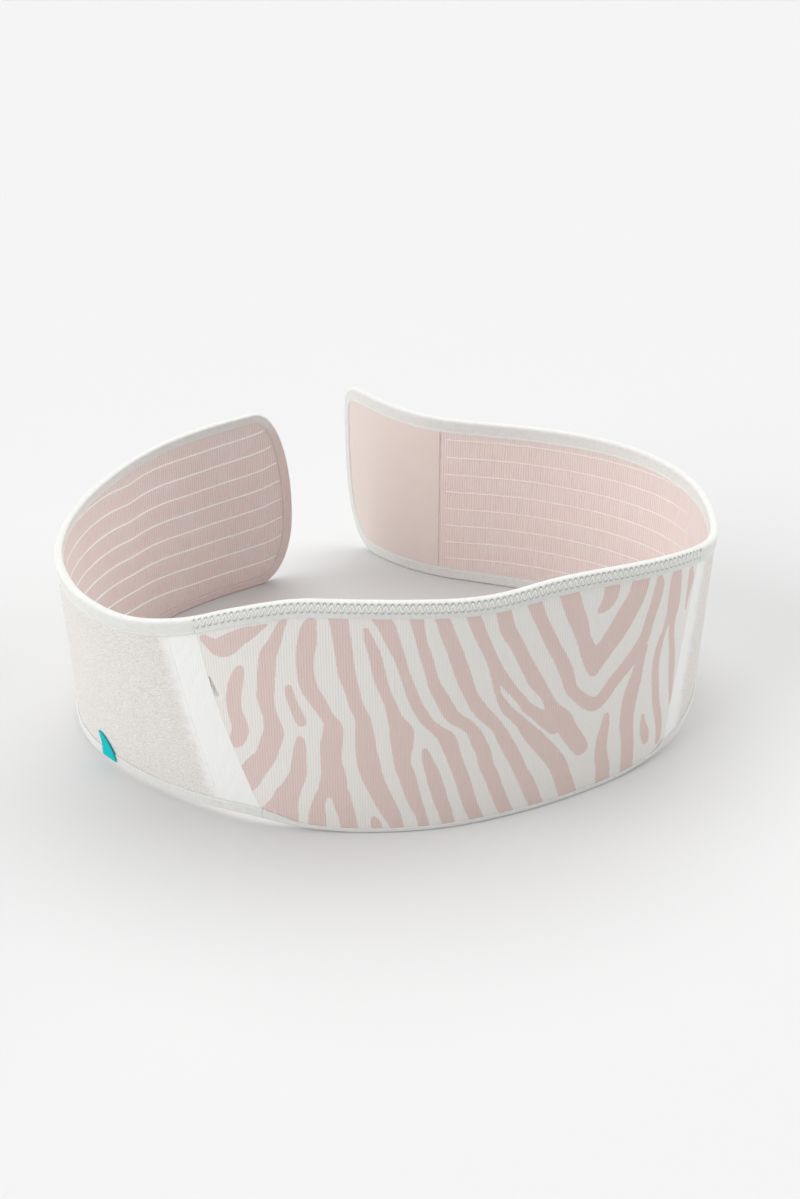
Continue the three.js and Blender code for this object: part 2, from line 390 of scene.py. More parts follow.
class Workbench:
    """Cuts, thickens, sews and lays the pieces, with Blender's own tools."""

    @staticmethod
    def pick(piece: bpy.types.Object) -> None:
        """Selects one piece and nothing else.

        Args:
            piece: The piece.
        """
        bpy.ops.object.select_all(action="DESELECT")
        piece.select_set(True)
        bpy.context.view_layer.objects.active = piece

    @staticmethod
    def cut(name: str, columns: int, rows: int) -> bpy.types.Object:
        """Cuts a flat sheet whose x and y run from 0 to 1.

        Args:
            name: Name of the piece.
            columns: Columns of its grid.
            rows: Rows of its grid.

        Returns:
            The sheet.
        """
        bpy.ops.object.select_all(action="DESELECT")
        bpy.ops.mesh.primitive_grid_add(
            x_subdivisions=columns, y_subdivisions=rows, size=1, location=(0.5, 0.5, 0)
        )
        piece = bpy.context.active_object
        piece.name = piece.data.name = name
        bpy.ops.object.transform_apply(location=True, rotation=True, scale=True)
        return piece

    @classmethod
    def apply(cls, piece: bpy.types.Object, kind: str, **settings: object) -> None:
        """Adds a modifier with its settings and applies it.

        Args:
            piece: The piece.
            kind: Kind of modifier.
            **settings: Its settings.
        """
        cls.pick(piece)
        modifier = piece.modifiers.new(kind.lower(), kind)
        for setting, value in settings.items():
            setattr(modifier, setting, value)
        bpy.ops.object.modifier_apply(modifier=modifier.name)

    @classmethod
    def thicken(cls, piece: bpy.types.Object, thickness: float) -> None:
        """Gives a flat sheet its thickness, half of it on each side."""
        cls.apply(piece, "SOLIDIFY", thickness=thickness, offset=0)

    @classmethod
    def round_edges(cls, piece: bpy.types.Object, width: float = 0.2 * MM) -> None:
        """Rounds the cut edges of a thick cloth."""
        cls.apply(piece, "BEVEL", width=width, segments=2, limit_method="ANGLE", angle_limit=CUT_ANGLE)

    @classmethod
    def laid_cloth(
        cls, name: str, columns: int, rows: int, thickness: float, warp: Warp
    ) -> bpy.types.Object:
        """Cuts a cloth, thickens it and lays it on the belt.

        Args:
            name: Name of the piece.
            columns: Columns of its grid.
            rows: Rows of its grid.
            thickness: Thickness of the cloth.
            warp: Turns its x, y and z into s, z and out.

        Returns:
            The laid piece.
        """
        piece = cls.cut(name, columns, rows)
        cls.thicken(piece, thickness)
        cls.lay(piece, warp)
        return piece

    @classmethod
    def thread(cls, name: str, sides: int, cuts: int, count: int) -> bpy.types.Object:
        """Models one straight thread along X and copies it.

        Args:
            name: Name of the piece.
            sides: Sides of the thread.
            cuts: Cuts along each thread.
            count: Number of threads; number k runs from x = 2 k to 2 k + 1.

        Returns:
            The threads as one piece, 1 in radius.
        """
        bpy.ops.object.select_all(action="DESELECT")
        bpy.ops.mesh.primitive_cylinder_add(
            vertices=sides, radius=1, depth=1, rotation=(0, math.pi / 2, 0), location=(0.5, 0, 0)
        )
        piece = bpy.context.active_object
        piece.name = piece.data.name = name
        bpy.ops.object.transform_apply(location=True, rotation=True, scale=True)
        bpy.ops.object.mode_set(mode="EDIT")
        bpy.ops.mesh.select_mode(type="EDGE")
        bpy.ops.mesh.select_all(action="DESELECT")
        mesh = bmesh.from_edit_mesh(piece.data)
        for edge in mesh.edges:
            runs_along = abs(edge.verts[0].co.x - edge.verts[1].co.x) > 0.5
            edge.select_set(runs_along)
        bmesh.update_edit_mesh(piece.data)
        bpy.ops.mesh.subdivide(number_cuts=cuts)
        bpy.ops.object.mode_set(mode="OBJECT")
        cls.apply(
            piece, "ARRAY", count=count, use_relative_offset=False,
            use_constant_offset=True, constant_offset_displace=(2, 0, 0),
        )
        return piece

    @staticmethod
    def thread_places(x: Floats) -> tuple[NDArray[np.int64], Floats]:
        """Number of each point's thread, and the point's share of the way along it."""
        number = np.floor(x / 2 + 0.1).astype(int)
        return number, x - 2 * number

    @staticmethod
    def points(piece: bpy.types.Object) -> Floats:
        """A piece's points, one a row.

        Args:
            piece: The piece.

        Returns:
            Its points.
        """
        found = np.empty(len(piece.data.vertices) * 3)
        piece.data.vertices.foreach_get("co", found)
        return found.reshape(-1, 3)

    @classmethod
    def lay(cls, piece: bpy.types.Object, warp: Warp) -> None:
        """Lays a flat piece on the belt and keeps its places on the cloth.

        Args:
            piece: The flat piece.
            warp: Turns its x, y and z into s, z and out.
        """
        s, z, out = warp(*cls.points(piece).T)
        cloth = np.stack([s, z, out], axis=1).astype(np.float32)
        attribute = piece.data.attributes.new("cloth", "FLOAT_VECTOR", "POINT")
        attribute.data.foreach_set("vector", cloth.ravel())
        piece.data.vertices.foreach_set("co", BELT.place(s, z, out).astype(np.float32).ravel())
        piece.data.update()
        cls.pick(piece)
        bpy.ops.object.mode_set(mode="EDIT")
        bpy.ops.mesh.select_all(action="SELECT")
        bpy.ops.mesh.normals_make_consistent(inside=False)
        bpy.ops.object.mode_set(mode="OBJECT")

    @staticmethod
    def cloth(piece: bpy.types.Object) -> Floats:
        """The places on the cloth, s, z and out, of a piece's points.

        Args:
            piece: The laid piece.

        Returns:
            One place a row.
        """
        found = np.empty(len(piece.data.vertices) * 3, np.float32)
        piece.data.attributes["cloth"].data.foreach_get("vector", found)
        return found.reshape(-1, 3).astype(float)

    @staticmethod
    def paint(piece: bpy.types.Object, name: str, values: Floats) -> None:
        """Keeps one value a point for a finish to read."""
        attribute = piece.data.attributes.new(name, "FLOAT", "POINT")
        attribute.data.foreach_set("value", values.astype(np.float32))

    @classmethod
    def dress(
        cls, piece: bpy.types.Object, finish: bpy.types.Material, slot: Slot, nodes: tuple[str, ...] = ()
    ) -> bpy.types.Object:
        """Smooths and dresses a piece and fastens it to the belt.

        Args:
            piece: The laid piece.
            finish: Its material.
            slot: The record's slot of that material; not used.
            nodes: The solids that it stands for.

        Returns:
            The same piece.
        """
        cls.pick(piece)
        bpy.ops.object.shade_smooth_by_angle(angle=SMOOTH_ANGLE)
        piece.data.materials.clear()
        piece.data.materials.append(finish)
        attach(piece, "root")
        if nodes:
            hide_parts(*nodes)
        log.info("%s: %d faces", piece.name, len(piece.data.polygons))
        return piece


class ClothShader:
    """A cloth's material, built up from the places on the cloth."""

    SPECULAR = 0.25
    SHEEN_ROUGHNESS = 0.5

    def __init__(self, name: str, roughness: float, sheen: float) -> None:
        """Starts the material.

        Args:
            name: Name of the material.
            roughness: Roughness of its surface.
            sheen: Weight of the fuzz's sheen.
        """
        self.material = bpy.data.materials.new(name)
        self.material.use_nodes = True
        self.tree = self.material.node_tree
        self.shader = self.tree.nodes["Principled BSDF"]
        self.shader.inputs["Roughness"].default_value = roughness
        self.shader.inputs["Specular IOR Level"].default_value = self.SPECULAR
        self.shader.inputs["Sheen Weight"].default_value = sheen
        self.shader.inputs["Sheen Roughness"].default_value = self.SHEEN_ROUGHNESS
        self.place = self.attribute("cloth", "Vector")
        split = self.tree.nodes.new("ShaderNodeSeparateXYZ")
        self.feed(split.inputs[0], self.place)
        self.s, self.z, self.out = split.outputs

    def feed(self, socket: bpy.types.NodeSocket, value: object) -> None:
        """Links a socket to another one, or sets its value.

        Args:
            socket: The socket to feed.
            value: Another socket, or a value.
        """
        if isinstance(value, bpy.types.NodeSocket):
            self.tree.links.new(value, socket)
        else:
            socket.default_value = value

    def tint(self, socket: bpy.types.NodeSocket, colour: object) -> None:
        """Feeds a colour, or a socket that gives one, to a colour socket."""
        self.feed(socket, (*colour, 1) if isinstance(colour, tuple) else colour)

    def attribute(self, name: str, output: str = "Fac") -> bpy.types.NodeSocket:
        """Output of an attribute that the mesh keeps.

        Args:
            name: Name of the attribute.
            output: Name of the output.

        Returns:
            The socket that gives it.
        """
        node = self.tree.nodes.new("ShaderNodeAttribute")
        node.attribute_name = name
        return node.outputs[output]

    def math(self, operation: str, *values: object) -> bpy.types.NodeSocket:
        """Result of a sum on numbers or sockets.

        Args:
            operation: Name of the sum.
            *values: Numbers or sockets.

        Returns:
            The socket that gives it.
        """
        node = self.tree.nodes.new("ShaderNodeMath")
        node.operation = operation
        for socket, value in zip(node.inputs, values):
            self.feed(socket, value)
        return node.outputs[0]

    def ramp(self, value: bpy.types.NodeSocket, start: float, end: float) -> bpy.types.NodeSocket:
        """Smooth rise from 0 at start to 1 at end.

        Args:
            value: The value that rises.
            start: Where the rise starts.
            end: Where it ends.

        Returns:
            The socket that gives it.
        """
        node = self.tree.nodes.new("ShaderNodeMapRange")
        node.interpolation_type = "SMOOTHSTEP"
        self.feed(node.inputs["Value"], value)
        self.feed(node.inputs["From Min"], start)
        self.feed(node.inputs["From Max"], end)
        return node.outputs["Result"]

    def wave(self, along: bpy.types.NodeSocket, pitch: float) -> bpy.types.NodeSocket:
        """Wave from 0 to 1 that repeats at each pitch."""
        sine = self.math("SINE", self.math("MULTIPLY", along, 2 * math.pi / pitch))
        return self.math("MULTIPLY_ADD", sine, 0.5, 0.5)

    def noise(
        self, grain: float, detail: float = 2, stretch: tuple[float, float, float] = (1, 1, 1)
    ) -> bpy.types.NodeSocket:
        """Noise from 0 to 1.

        Args:
            grain: Size of its grain.
            detail: Number of finer layers.
            stretch: How much closer the grain is along s, z and out.

        Returns:
            The noise's value.
        """
        scale = self.tree.nodes.new("ShaderNodeVectorMath")
        scale.operation = "MULTIPLY"
        self.feed(scale.inputs[0], self.place)
        self.feed(scale.inputs[1], stretch)
        node = self.tree.nodes.new("ShaderNodeTexNoise")
        self.feed(node.inputs["Vector"], scale.outputs[0])
        self.feed(node.inputs["Scale"], 1 / grain)
        self.feed(node.inputs["Detail"], detail)
        return node.outputs["Fac"]

    def blend(self, share: object, low: object, high: object) -> bpy.types.NodeSocket:
        """Colour at a share of the way from one colour to another.

        Args:
            share: The share.
            low: Colour at 0.
            high: Colour at 1.

        Returns:
            The socket that gives it.
        """
        node = self.tree.nodes.new("ShaderNodeMix")
        node.data_type = "RGBA"
        self.feed(node.inputs[0], share)
        self.tint(node.inputs[6], low)
        self.tint(node.inputs[7], high)
        return node.outputs[2]

    def painted_shade(self, colour: object, share: bpy.types.NodeSocket, depth: float) -> bpy.types.NodeSocket:
        """Darkens a colour by up to depth where share is 1: painted shade.

        Args:
            colour: The colour.
            share: Where it is darkened, 0 to 1.
            depth: Share of the light taken away.

        Returns:
            The socket that gives it.
        """
        factor = self.math("MULTIPLY_ADD", share, -depth, 1.0)
        node = self.tree.nodes.new("ShaderNodeVectorMath")
        node.operation = "SCALE"
        self.feed(node.inputs[0], colour)
        self.feed(node.inputs["Scale"], factor)
        return node.outputs[0]

    def finish(self, colour: object, height: bpy.types.NodeSocket, depth: float) -> bpy.types.Material:
        """Links the colour and the relief to the shader.

        Args:
            colour: Colour, or the socket that gives it.
            height: Relief from 0 to 1.
            depth: Depth of that relief.

        Returns:
            The finished material.
        """
        self.tint(self.shader.inputs["Base Color"], colour)
        bump = self.tree.nodes.new("ShaderNodeBump")
        self.feed(bump.inputs["Distance"], depth)
        self.feed(bump.inputs["Height"], height)
        self.feed(self.shader.inputs["Normal"], bump.outputs["Normal"])
        return self.material


@dataclass(frozen=True)
class KnitFinish:
    """Smooth knit with fine upright wales, with painted shade in their hollows."""

    name: str
    colour: Colour
    wale: float = 1.5 * MM
    course: float = 1.1 * MM
    relief: float = 0.10 * MM
    painted_shade: float = 0.06
    roughness: float = 0.85
    sheen: float = 0.15
    course_share: float = 0.35
    slub_share: float = 1.2
    hollow: tuple[float, float] = (1.6, 0.5)

    def relief_of(self, shader: ClothShader) -> bpy.types.NodeSocket:
        """Relief of the wales and their courses, broken up by noise.

        Args:
            shader: The material being built.

        Returns:
            The socket that gives it.
        """
        wales = shader.wave(shader.s, self.wale)
        courses = shader.wave(shader.z, self.course)
        woven = shader.math("MULTIPLY_ADD", courses, self.course_share, wales)
        slub = shader.noise(self.wale * 0.8, 3, (1, 0.12, 1))
        return shader.math("MULTIPLY_ADD", slub, self.slub_share, woven)

    def material(self) -> bpy.types.Material:
        """Makes the material.

        Returns:
            The material.
        """
        shader = ClothShader(self.name, self.roughness, self.sheen)
        relief = self.relief_of(shader)
        # Painted shade: the colour is darkened where the wales' relief is low.
        dark = shader.ramp(relief, *self.hollow)
        colour = shader.painted_shade(self.colour, dark, self.painted_shade)
        return shader.finish(colour, relief, self.relief)


@dataclass(frozen=True)
class PrintFinish(KnitFinish):
    """Knit with the stripes printed on its outside, plain pink inside, with painted shade in its hollows and
    in the small opening at its seam.
    """

    stripe: Colour = (0.7, 0.6, 0.6)
    lining: Colour = (0.7, 0.6, 0.6)
    softness: float = 0.35 * MM
    bleed: float = 1.1 * MM
    patch: float = 28 * MM
    slit_painted_shade: float = 0.3

    def material(self) -> bpy.types.Material:
        """Makes the material.

        Returns:
            The material.
        """
        shader = ClothShader(self.name, self.roughness, self.sheen)
        relief = self.relief_of(shader)
        blot = shader.math("SUBTRACT", shader.noise(2.2 * MM, 3), 0.5)
        distance = shader.math("MULTIPLY_ADD", blot, self.bleed, shader.attribute("zebra"))
        inked = shader.ramp(distance, self.softness, -self.softness)
        patchy = shader.blend(shader.noise(self.patch, 3), self.stripe, dimmed(self.stripe, 0.94))
        colour = shader.blend(inked, self.colour, patchy)
        colour = shader.blend(shader.ramp(shader.out, -0.3 * MM, 0.3 * MM), self.lining, colour)
        # Painted shade where the knit's relief is low.
        colour = shader.painted_shade(colour, shader.ramp(relief, *self.hollow), self.painted_shade)
        # Painted shade in the gaping opening at the seam beside the band.
        colour = shader.painted_shade(colour, shader.attribute("seam_gap_shade"), self.slit_painted_shade)
        return shader.finish(colour, relief, self.relief)


@dataclass(frozen=True)
class LoopFinish:
    """Grainy loop pile in fine rows, with painted highlights on its high points and painted shadow in its
    low points, fading out towards the joining band.
    """

    name: str
    colour: Colour
    tip_highlight: Colour
    shadow: Colour
    band: Colour
    grain: float = 0.85 * MM
    relief: float = 0.4 * MM
    row_pitch: float = 1.5 * MM
    row_share: float = 0.12
    tip_highlight_range: tuple[float, float] = (1.08, 1.4)
    tip_highlight_share: float = 0.75
    shadow_range: tuple[float, float] = (1.02, 0.78)
    shadow_share: float = 0.8
    patch: float = 35 * MM
    ragged_grain: float = 7 * MM
    ragged_reach: float = 9 * MM
    fade: tuple[float, float] = (3 * MM, 15 * MM)

    def material(self) -> bpy.types.Material:
        """Makes the material.

        Returns:
            The material.
        """
        shader = ClothShader(self.name, roughness=0.95, sheen=0.25)
        pile = shader.noise(self.grain, 4, (1.2, 0.8, 1))
        rows = shader.wave(shader.math("MULTIPLY_ADD", shader.s, 0.12, shader.z), self.row_pitch)
        tufts = shader.noise(self.grain * 0.8, 2, (0.35, 1.3, 1))
        height = shader.math("ADD", pile, shader.math("MULTIPLY_ADD", rows, self.row_share, tufts))
        # Painted highlight on the pile's high points and painted shadow in its low points.
        light = shader.math("MULTIPLY", shader.ramp(height, *self.tip_highlight_range), self.tip_highlight_share)
        dark = shader.math("MULTIPLY", shader.ramp(height, *self.shadow_range), self.shadow_share)
        ground = shader.blend(shader.noise(self.patch, 2), self.colour, dimmed(self.colour, 0.97))
        colour = shader.blend(light, ground, self.tip_highlight)
        colour = shader.blend(dark, colour, self.shadow)
        frayed = shader.noise(self.ragged_grain, 4)
        ragged = shader.math("MULTIPLY_ADD", frayed, self.ragged_reach, shader.attribute("from_band"))
        shown = shader.ramp(ragged, *self.fade)
        colour = shader.blend(shown, self.band, colour)
        return shader.finish(colour, shader.math("MULTIPLY", height, shown), self.relief)


@dataclass(frozen=True)
class ElasticFinish:
    """Ribbed elastic: upright threads over stretched rubber."""

    name: str
    colour: Colour
    warm: Colour
    rib: float = 1.7 * MM
    relief: float = 0.16 * MM
    wander: float = 2.4 * MM
    thread: float = 1.2 * MM
    thread_share: float = 1.5
    patch: float = 22 * MM
    hollow: tuple[float, float] = (1.7, 0.6)
    painted_shade: float = 0.12

    def material(self) -> bpy.types.Material:
        """Makes the material.

        Returns:
            The material.
        """
        shader = ClothShader(self.name, roughness=0.8, sheen=0.2)
        wander = shader.math("MULTIPLY", shader.noise(9 * MM, 2, (1, 0.4, 1)), self.wander)
        ribs = shader.wave(shader.math("ADD", shader.s, wander), self.rib)
        threads = shader.noise(self.thread, 3, (1.4, 0.1, 1))
        height = shader.math("MULTIPLY_ADD", threads, self.thread_share, ribs)
        patches = shader.noise(self.patch, 3, (0.7, 1.2, 1))
        colour = shader.blend(shader.ramp(patches, 0.35, 0.65), self.colour, self.warm)
        # Painted shade where the ribs' relief is low.
        colour = shader.painted_shade(colour, shader.ramp(height, *self.hollow), self.painted_shade)
        return shader.finish(colour, height, self.relief)


@dataclass(frozen=True)
class HookFinish:
    """Smooth hook fastener with fine rows of hooks."""

    name: str
    colour: Colour
    pitch: float = 1.25 * MM
    relief: float = 0.08 * MM
    patch: float = 30 * MM
    hollow: tuple[float, float] = (0.7, 0.1)
    painted_shade: float = 0.05

    def material(self) -> bpy.types.Material:
        """Makes the material.

        Returns:
            The material.
        """
        shader = ClothShader(self.name, roughness=0.55, sheen=0.1)
        columns, rows = shader.wave(shader.s, self.pitch), shader.wave(shader.z, self.pitch)
        hooks = shader.math("MULTIPLY", columns, rows)
        height = shader.math("MULTIPLY_ADD", shader.noise(0.9 * MM, 2), 0.4, hooks)
        patches = shader.noise(self.patch, 2)
        colour = shader.blend(patches, self.colour, dimmed(self.colour, 0.95))
        # Painted shade between the rows of hooks, where the relief is low.
        colour = shader.painted_shade(colour, shader.ramp(height, *self.hollow), self.painted_shade)
        return shader.finish(colour, height, self.relief)


@dataclass(frozen=True)
class TapeFinish:
    """White folded tape with slanting knit, painted with pink bounce light and shade where it lies on the
    pink inside.
    """

    name: str
    colour: Colour
    painted_bounce: Colour
    pitch: float = 1.3 * MM
    relief: float = 0.09 * MM
    slant: float = 0.7
    grain: float = 0.9 * MM
    grain_share: float = 1.4
    lump: float = 3.2 * MM
    lump_share: float = 2.2
    hollow: tuple[float, float] = (2.7, 1.3)
    painted_shade: float = 0.10
    hole_painted_shade: float = 0.9

    def material(self) -> bpy.types.Material:
        """Makes the material.

        Returns:
            The material.
        """
        shader = ClothShader(self.name, roughness=0.8, sheen=0.15)
        slant = shader.math("MULTIPLY_ADD", shader.z, self.slant, shader.s)
        twill = shader.wave(slant, self.pitch)
        fine = shader.math("MULTIPLY_ADD", shader.noise(self.grain, 3), self.grain_share, twill)
        height = shader.math("MULTIPLY_ADD", shader.noise(self.lump, 2), self.lump_share, fine)
        # Painted pink bounce light and shade from the pink elastic, where the tint mask is set.
        colour = shader.blend(shader.attribute("tint"), self.colour, self.painted_bounce)
        # Painted shade where the knit's relief is low.
        colour = shader.painted_shade(colour, shader.ramp(height, *self.hollow), self.painted_shade)
        # Painted shade at the needle holes.
        colour = shader.painted_shade(colour, shader.attribute("pull_and_shade"), self.hole_painted_shade)
        return shader.finish(colour, height, self.relief)


@dataclass(frozen=True)
class ThreadFinish:
    """Twisted sewing thread or covered rubber."""

    name: str
    colour: Colour
    twist: float = 0.9 * MM
    relief: float = 0.06 * MM
    sheen: float = 0.2
    fibre: float = 0.5 * MM
    hollow: tuple[float, float] = (0.9, 0.1)
    painted_shade: float = 0.08

    def material(self) -> bpy.types.Material:
        """Makes the material.

        Returns:
            The material.
        """
        shader = ClothShader(self.name, roughness=0.6, sheen=self.sheen)
        ply = shader.wave(shader.math("ADD", shader.s, shader.z), self.twist)
        height = shader.math("MULTIPLY_ADD", shader.noise(self.fibre, 2), 0.5, ply)
        # Painted shade in the hollows of the twist.
        colour = shader.painted_shade(self.colour, shader.ramp(height, *self.hollow), self.painted_shade)
        return shader.finish(colour, height, self.relief)


@dataclass(frozen=True)
class WovenFinish:
    """Plain woven tab."""

    name: str
    colour: Colour
    pitch: float = 0.9 * MM
    relief: float = 0.07 * MM
    painted_shade: float = 0.12

    def material(self) -> bpy.types.Material:
        """Makes the material.

        Returns:
            The material.
        """
        shader = ClothShader(self.name, roughness=0.8, sheen=0.0)
        weft, warp = shader.wave(shader.s, self.pitch), shader.wave(shader.z, self.pitch)
        height = shader.math("ABSOLUTE", shader.math("SUBTRACT", weft, warp))
        # Painted shade that follows the weave's relief.
        colour = shader.painted_shade(self.colour, height, self.painted_shade)
        return shader.finish(colour, height, self.relief)


class Finishes:
    """The belt's materials, each made once."""

    def __init__(self) -> None:
        """Makes the materials."""
        white = linear(237, 234, 230)
        pink = linear(231, 216, 212)
        band = linear(243, 243, 241)
        self.print = PrintFinish(
            "zebra_print", white, stripe=linear(227, 205, 199), lining=pink
        ).material()
        self.band = KnitFinish("white_knit", band, relief=0.05 * MM, painted_shade=0.02).material()
        # Loop pile: the lighter colour is a painted highlight on the pile's high points, the darker one
        # painted shadow in its low points.
        self.loop = LoopFinish(
            "loop_pile", linear(231, 227, 222), tip_highlight=linear(252, 252, 251),
            shadow=linear(203, 197, 190), band=band,
        ).material()
        self.elastic = ElasticFinish("pink_elastic", linear(236, 221, 217), linear(237, 219, 213)).material()
        self.hook = HookFinish("hook_fastener", linear(232, 219, 212)).material()
        # The second colour is painted pink bounce light and shade for the tape's inside.
        self.trim = TapeFinish("folded_tape", linear(230, 230, 227), linear(228, 211, 207)).material()
        self.thread = ThreadFinish("white_thread", linear(246, 246, 243)).material()
        self.rubber = {
            "left": ThreadFinish("covered_rubber", linear(255, 254, 250), sheen=0.9).material(),
            "right": ThreadFinish("sunk_rubber", linear(247, 236, 232)).material(),
        }
        self.tab = WovenFinish("teal_weave", linear(0, 196, 202)).material()


@dataclass(frozen=True)
class Fold:
    """Cross-section of a tape: a roll over the wall's edge that settles flat on the cloth.

    Attributes:
        width: Width of the tape on either face, from the fold.
        thickness: Thickness of the tape.
        depth: Depth of the roll.
        bulge: How far the roll stands proud of the flat.
        settle: Width of the stretch between the roll and the flat.
        square: 2 is a round roll, more is squarer.
    """

    TURN_REACH: ClassVar[float] = 0.02

    width: float
    thickness: float = 0.7 * MM
    depth: float = 1.5 * MM
    bulge: float = 0.2 * MM
    settle: float = 2.5 * MM
    square: float = 2.6

    @property
    def start(self) -> float:
        """Inset where the roll ends."""
        return self.thickness / 2 + self.depth

    @property
    def flat(self) -> float:
        """Distance of the tape's middle from the wall's, where it lies on the cloth."""
        return CLOTH_HALF + SEAM + self.thickness / 2

    def middle(self, inset: Floats) -> Floats:
        """Distance of the tape's middle from the wall's, past the roll."""
        proud = 1 - smooth_step(inset, self.start, self.start + self.settle)
        return self.flat + self.bulge * proud

    @cached_property
    def line(self) -> Floats:
        """Rows of share across, inset and out, along the tape's middle.

        Returns:
            One place a row.
        """
        turn = np.linspace(0, math.pi, 61)
        power = 2 / self.square
        rolled = (self.flat + self.bulge) * np.sign(np.cos(turn)) * np.abs(np.cos(turn)) ** power
        depth = self.thickness / 2 + self.depth * (1 - np.sin(turn) ** power)
        side = np.linspace(self.width, self.start, 20)[:-1]
        inset = np.concatenate([side, depth, side[::-1]])
        out = np.concatenate([self.middle(side), rolled, -self.middle(side[::-1])])
        steps = np.hypot(np.diff(inset), np.diff(out))
        travel = np.concatenate([[0], np.cumsum(steps)])
        return np.stack([travel / travel[-1], inset, out], axis=1)

    @property
    def length(self) -> float:
        """Width of the tape before it was folded."""
        return float(np.hypot(*np.diff(self.line[:, 1:], axis=0).T).sum())

    def at(self, share: Floats, lift: Floats) -> tuple[Floats, Floats]:
        """Inset and out at a share across the tape, lifted off its middle.

        Args:
            share: Shares across the tape.
            lift: Distances off its middle.

        Returns:
            The insets from the edge and the distances outwards.
        """
        known, inset, out = self.line.T
        ahead = np.clip(share + self.TURN_REACH, 0, 1)
        behind = np.clip(share - self.TURN_REACH, 0, 1)
        along_inset = np.interp(ahead, known, inset) - np.interp(behind, known, inset)
        along_out = np.interp(ahead, known, out) - np.interp(behind, known, out)
        size = np.hypot(along_inset, along_out)
        found_inset = np.interp(share, known, inset) + lift * along_out / size
        found_out = np.interp(share, known, out) - lift * along_inset / size
        return found_inset, found_out


class FrontEdge:
    """Route of a tape along the upper or the lower edge of the front."""

    LEFT_NARROWING = 28 * MM
    RIGHT_NARROWING = 9 * MM

    def __init__(self, edge: Edge, fold: Fold, end_width: float) -> None:
        """Finds where the tape starts and ends.

        Args:
            edge: The edge that it follows.
            fold: Its cross-section.
            end_width: Its width at the seams, where it meets the bindings.
        """
        self.edge, self.fold, self.end_width = edge, fold, end_width
        self.start = float(LEFT.print.at(edge.value)) + SEAM
        self.length = float(RIGHT.print.at(edge.value)) - SEAM - self.start

    def point(self, travel: Floats, inset: Floats, out: Floats) -> tuple[Floats, Floats]:
        """s and z at a distance along the tape and an inset from its edge.

        Args:
            travel: Distances along the tape.
            inset: Insets from its edge.
            out: Distances outwards from the middle of the wall; not used.

        Returns:
            s and z of those places.
        """
        s = self.start + travel
        from_left = smooth_step(travel, 0, self.LEFT_NARROWING)
        from_right = smooth_step(self.length - travel, 0, self.RIGHT_NARROWING)
        near_end = 1 - from_left * from_right
        flange = np.maximum(inset - self.fold.start, 0) / (self.fold.width - self.fold.start)
        inset = inset + near_end * (self.end_width - self.fold.width) * flange
        if self.edge is Edge.UPPER:
            return s, BELT.high(s) - inset
        return s, BELT.low(s) + inset


@dataclass(frozen=True)
class Widths:
    """Widths of a binding's flange at the upper edge, the lower edge and the end."""

    upper: float
    lower: float
    end: float


class TailEdge:
    """Route of a binding: along the lower edge, round the tail's end, back along the upper edge."""

    SAMPLES = 500

    def __init__(self, tail: TailShape, outer: Widths, inner: Widths, fold: Fold) -> None:
        """Measures the route.

        Args:
            tail: The tail that it goes round.
            outer: Widths of the binding outside.
            inner: Widths of the binding inside.
            fold: Its cross-section, whose width the others are measured by.
        """
        self.tail, self.outer, self.inner, self.fold = tail, outer, inner, fold
        turn = np.linspace(0, math.pi / 2, self.SAMPLES)
        rounding = 1 - np.cos(turn) ** (2 / tail.square)
        half = np.concatenate([rounding, np.linspace(1, 2, self.SAMPLES)[1:]])
        self.stages = np.concatenate([-half[::-1], half[1:]])
        s, z = self.stage_point(self.stages, 0 * self.stages, 0 * self.stages)
        steps = np.hypot(np.diff(s), np.diff(z))
        self.travel = np.concatenate([[0], np.cumsum(steps)])
        self.length = float(self.travel[-1])

    def stage_point(self, stage: Floats, inset: Floats, inside: Floats) -> tuple[Floats, Floats]:
        """s and z at a stage of the route.

        Args:
            stage: -2 at the front's lower corner, 0 at the tip, 2 at the upper corner.
            inset: Distance from the belt's edge, in widths of the fold.
            inside: 0 outside the wall, 1 inside.

        Returns:
            The distances along the belt and the heights.
        """
        tail, upper, far = self.tail, stage > 0, np.abs(stage)
        share = inset / self.fold.width
        edge_width = np.where(
            upper,
            mix(self.outer.upper, self.inner.upper, inside),
            mix(self.outer.lower, self.inner.lower, inside),
        )
        end_inset = share * mix(self.outer.end, self.inner.end, inside)
        reach = np.where(upper, tail.upper, tail.lower) * BELT.tail_height
        turned = np.minimum(far, 1)
        start = end_inset + (reach - end_inset) * turned
        seam = tail.s_at(np.where(upper, tail.print.at(1.0), tail.print.at(0.0))) - SEAM
        s = tail.s_at(mix(start, seam, np.maximum(far - 1, 0)))
        low, high = BELT.low(s), BELT.high(s)
        edge = np.where(upper, high - share * edge_width, low + share * edge_width)
        rise = (1 - (1 - turned) ** tail.square) ** (1 / tail.square)
        return s, mix(mix(low, high, tail.tip), edge, rise)

    def point(self, travel: Floats, inset: Floats, out: Floats) -> tuple[Floats, Floats]:
        """s and z at a distance along the tape and an inset from its edge."""
        inside = smooth_step(-out, -CLOTH_HALF, CLOTH_HALF)
        return self.stage_point(np.interp(travel, self.travel, self.stages), inset, inside)


Route = FrontEdge | TailEdge


def unraised(travel: Floats, inset: Floats, out: Floats) -> Floats:
    """Relief of a plain tape."""
    return 0 * travel


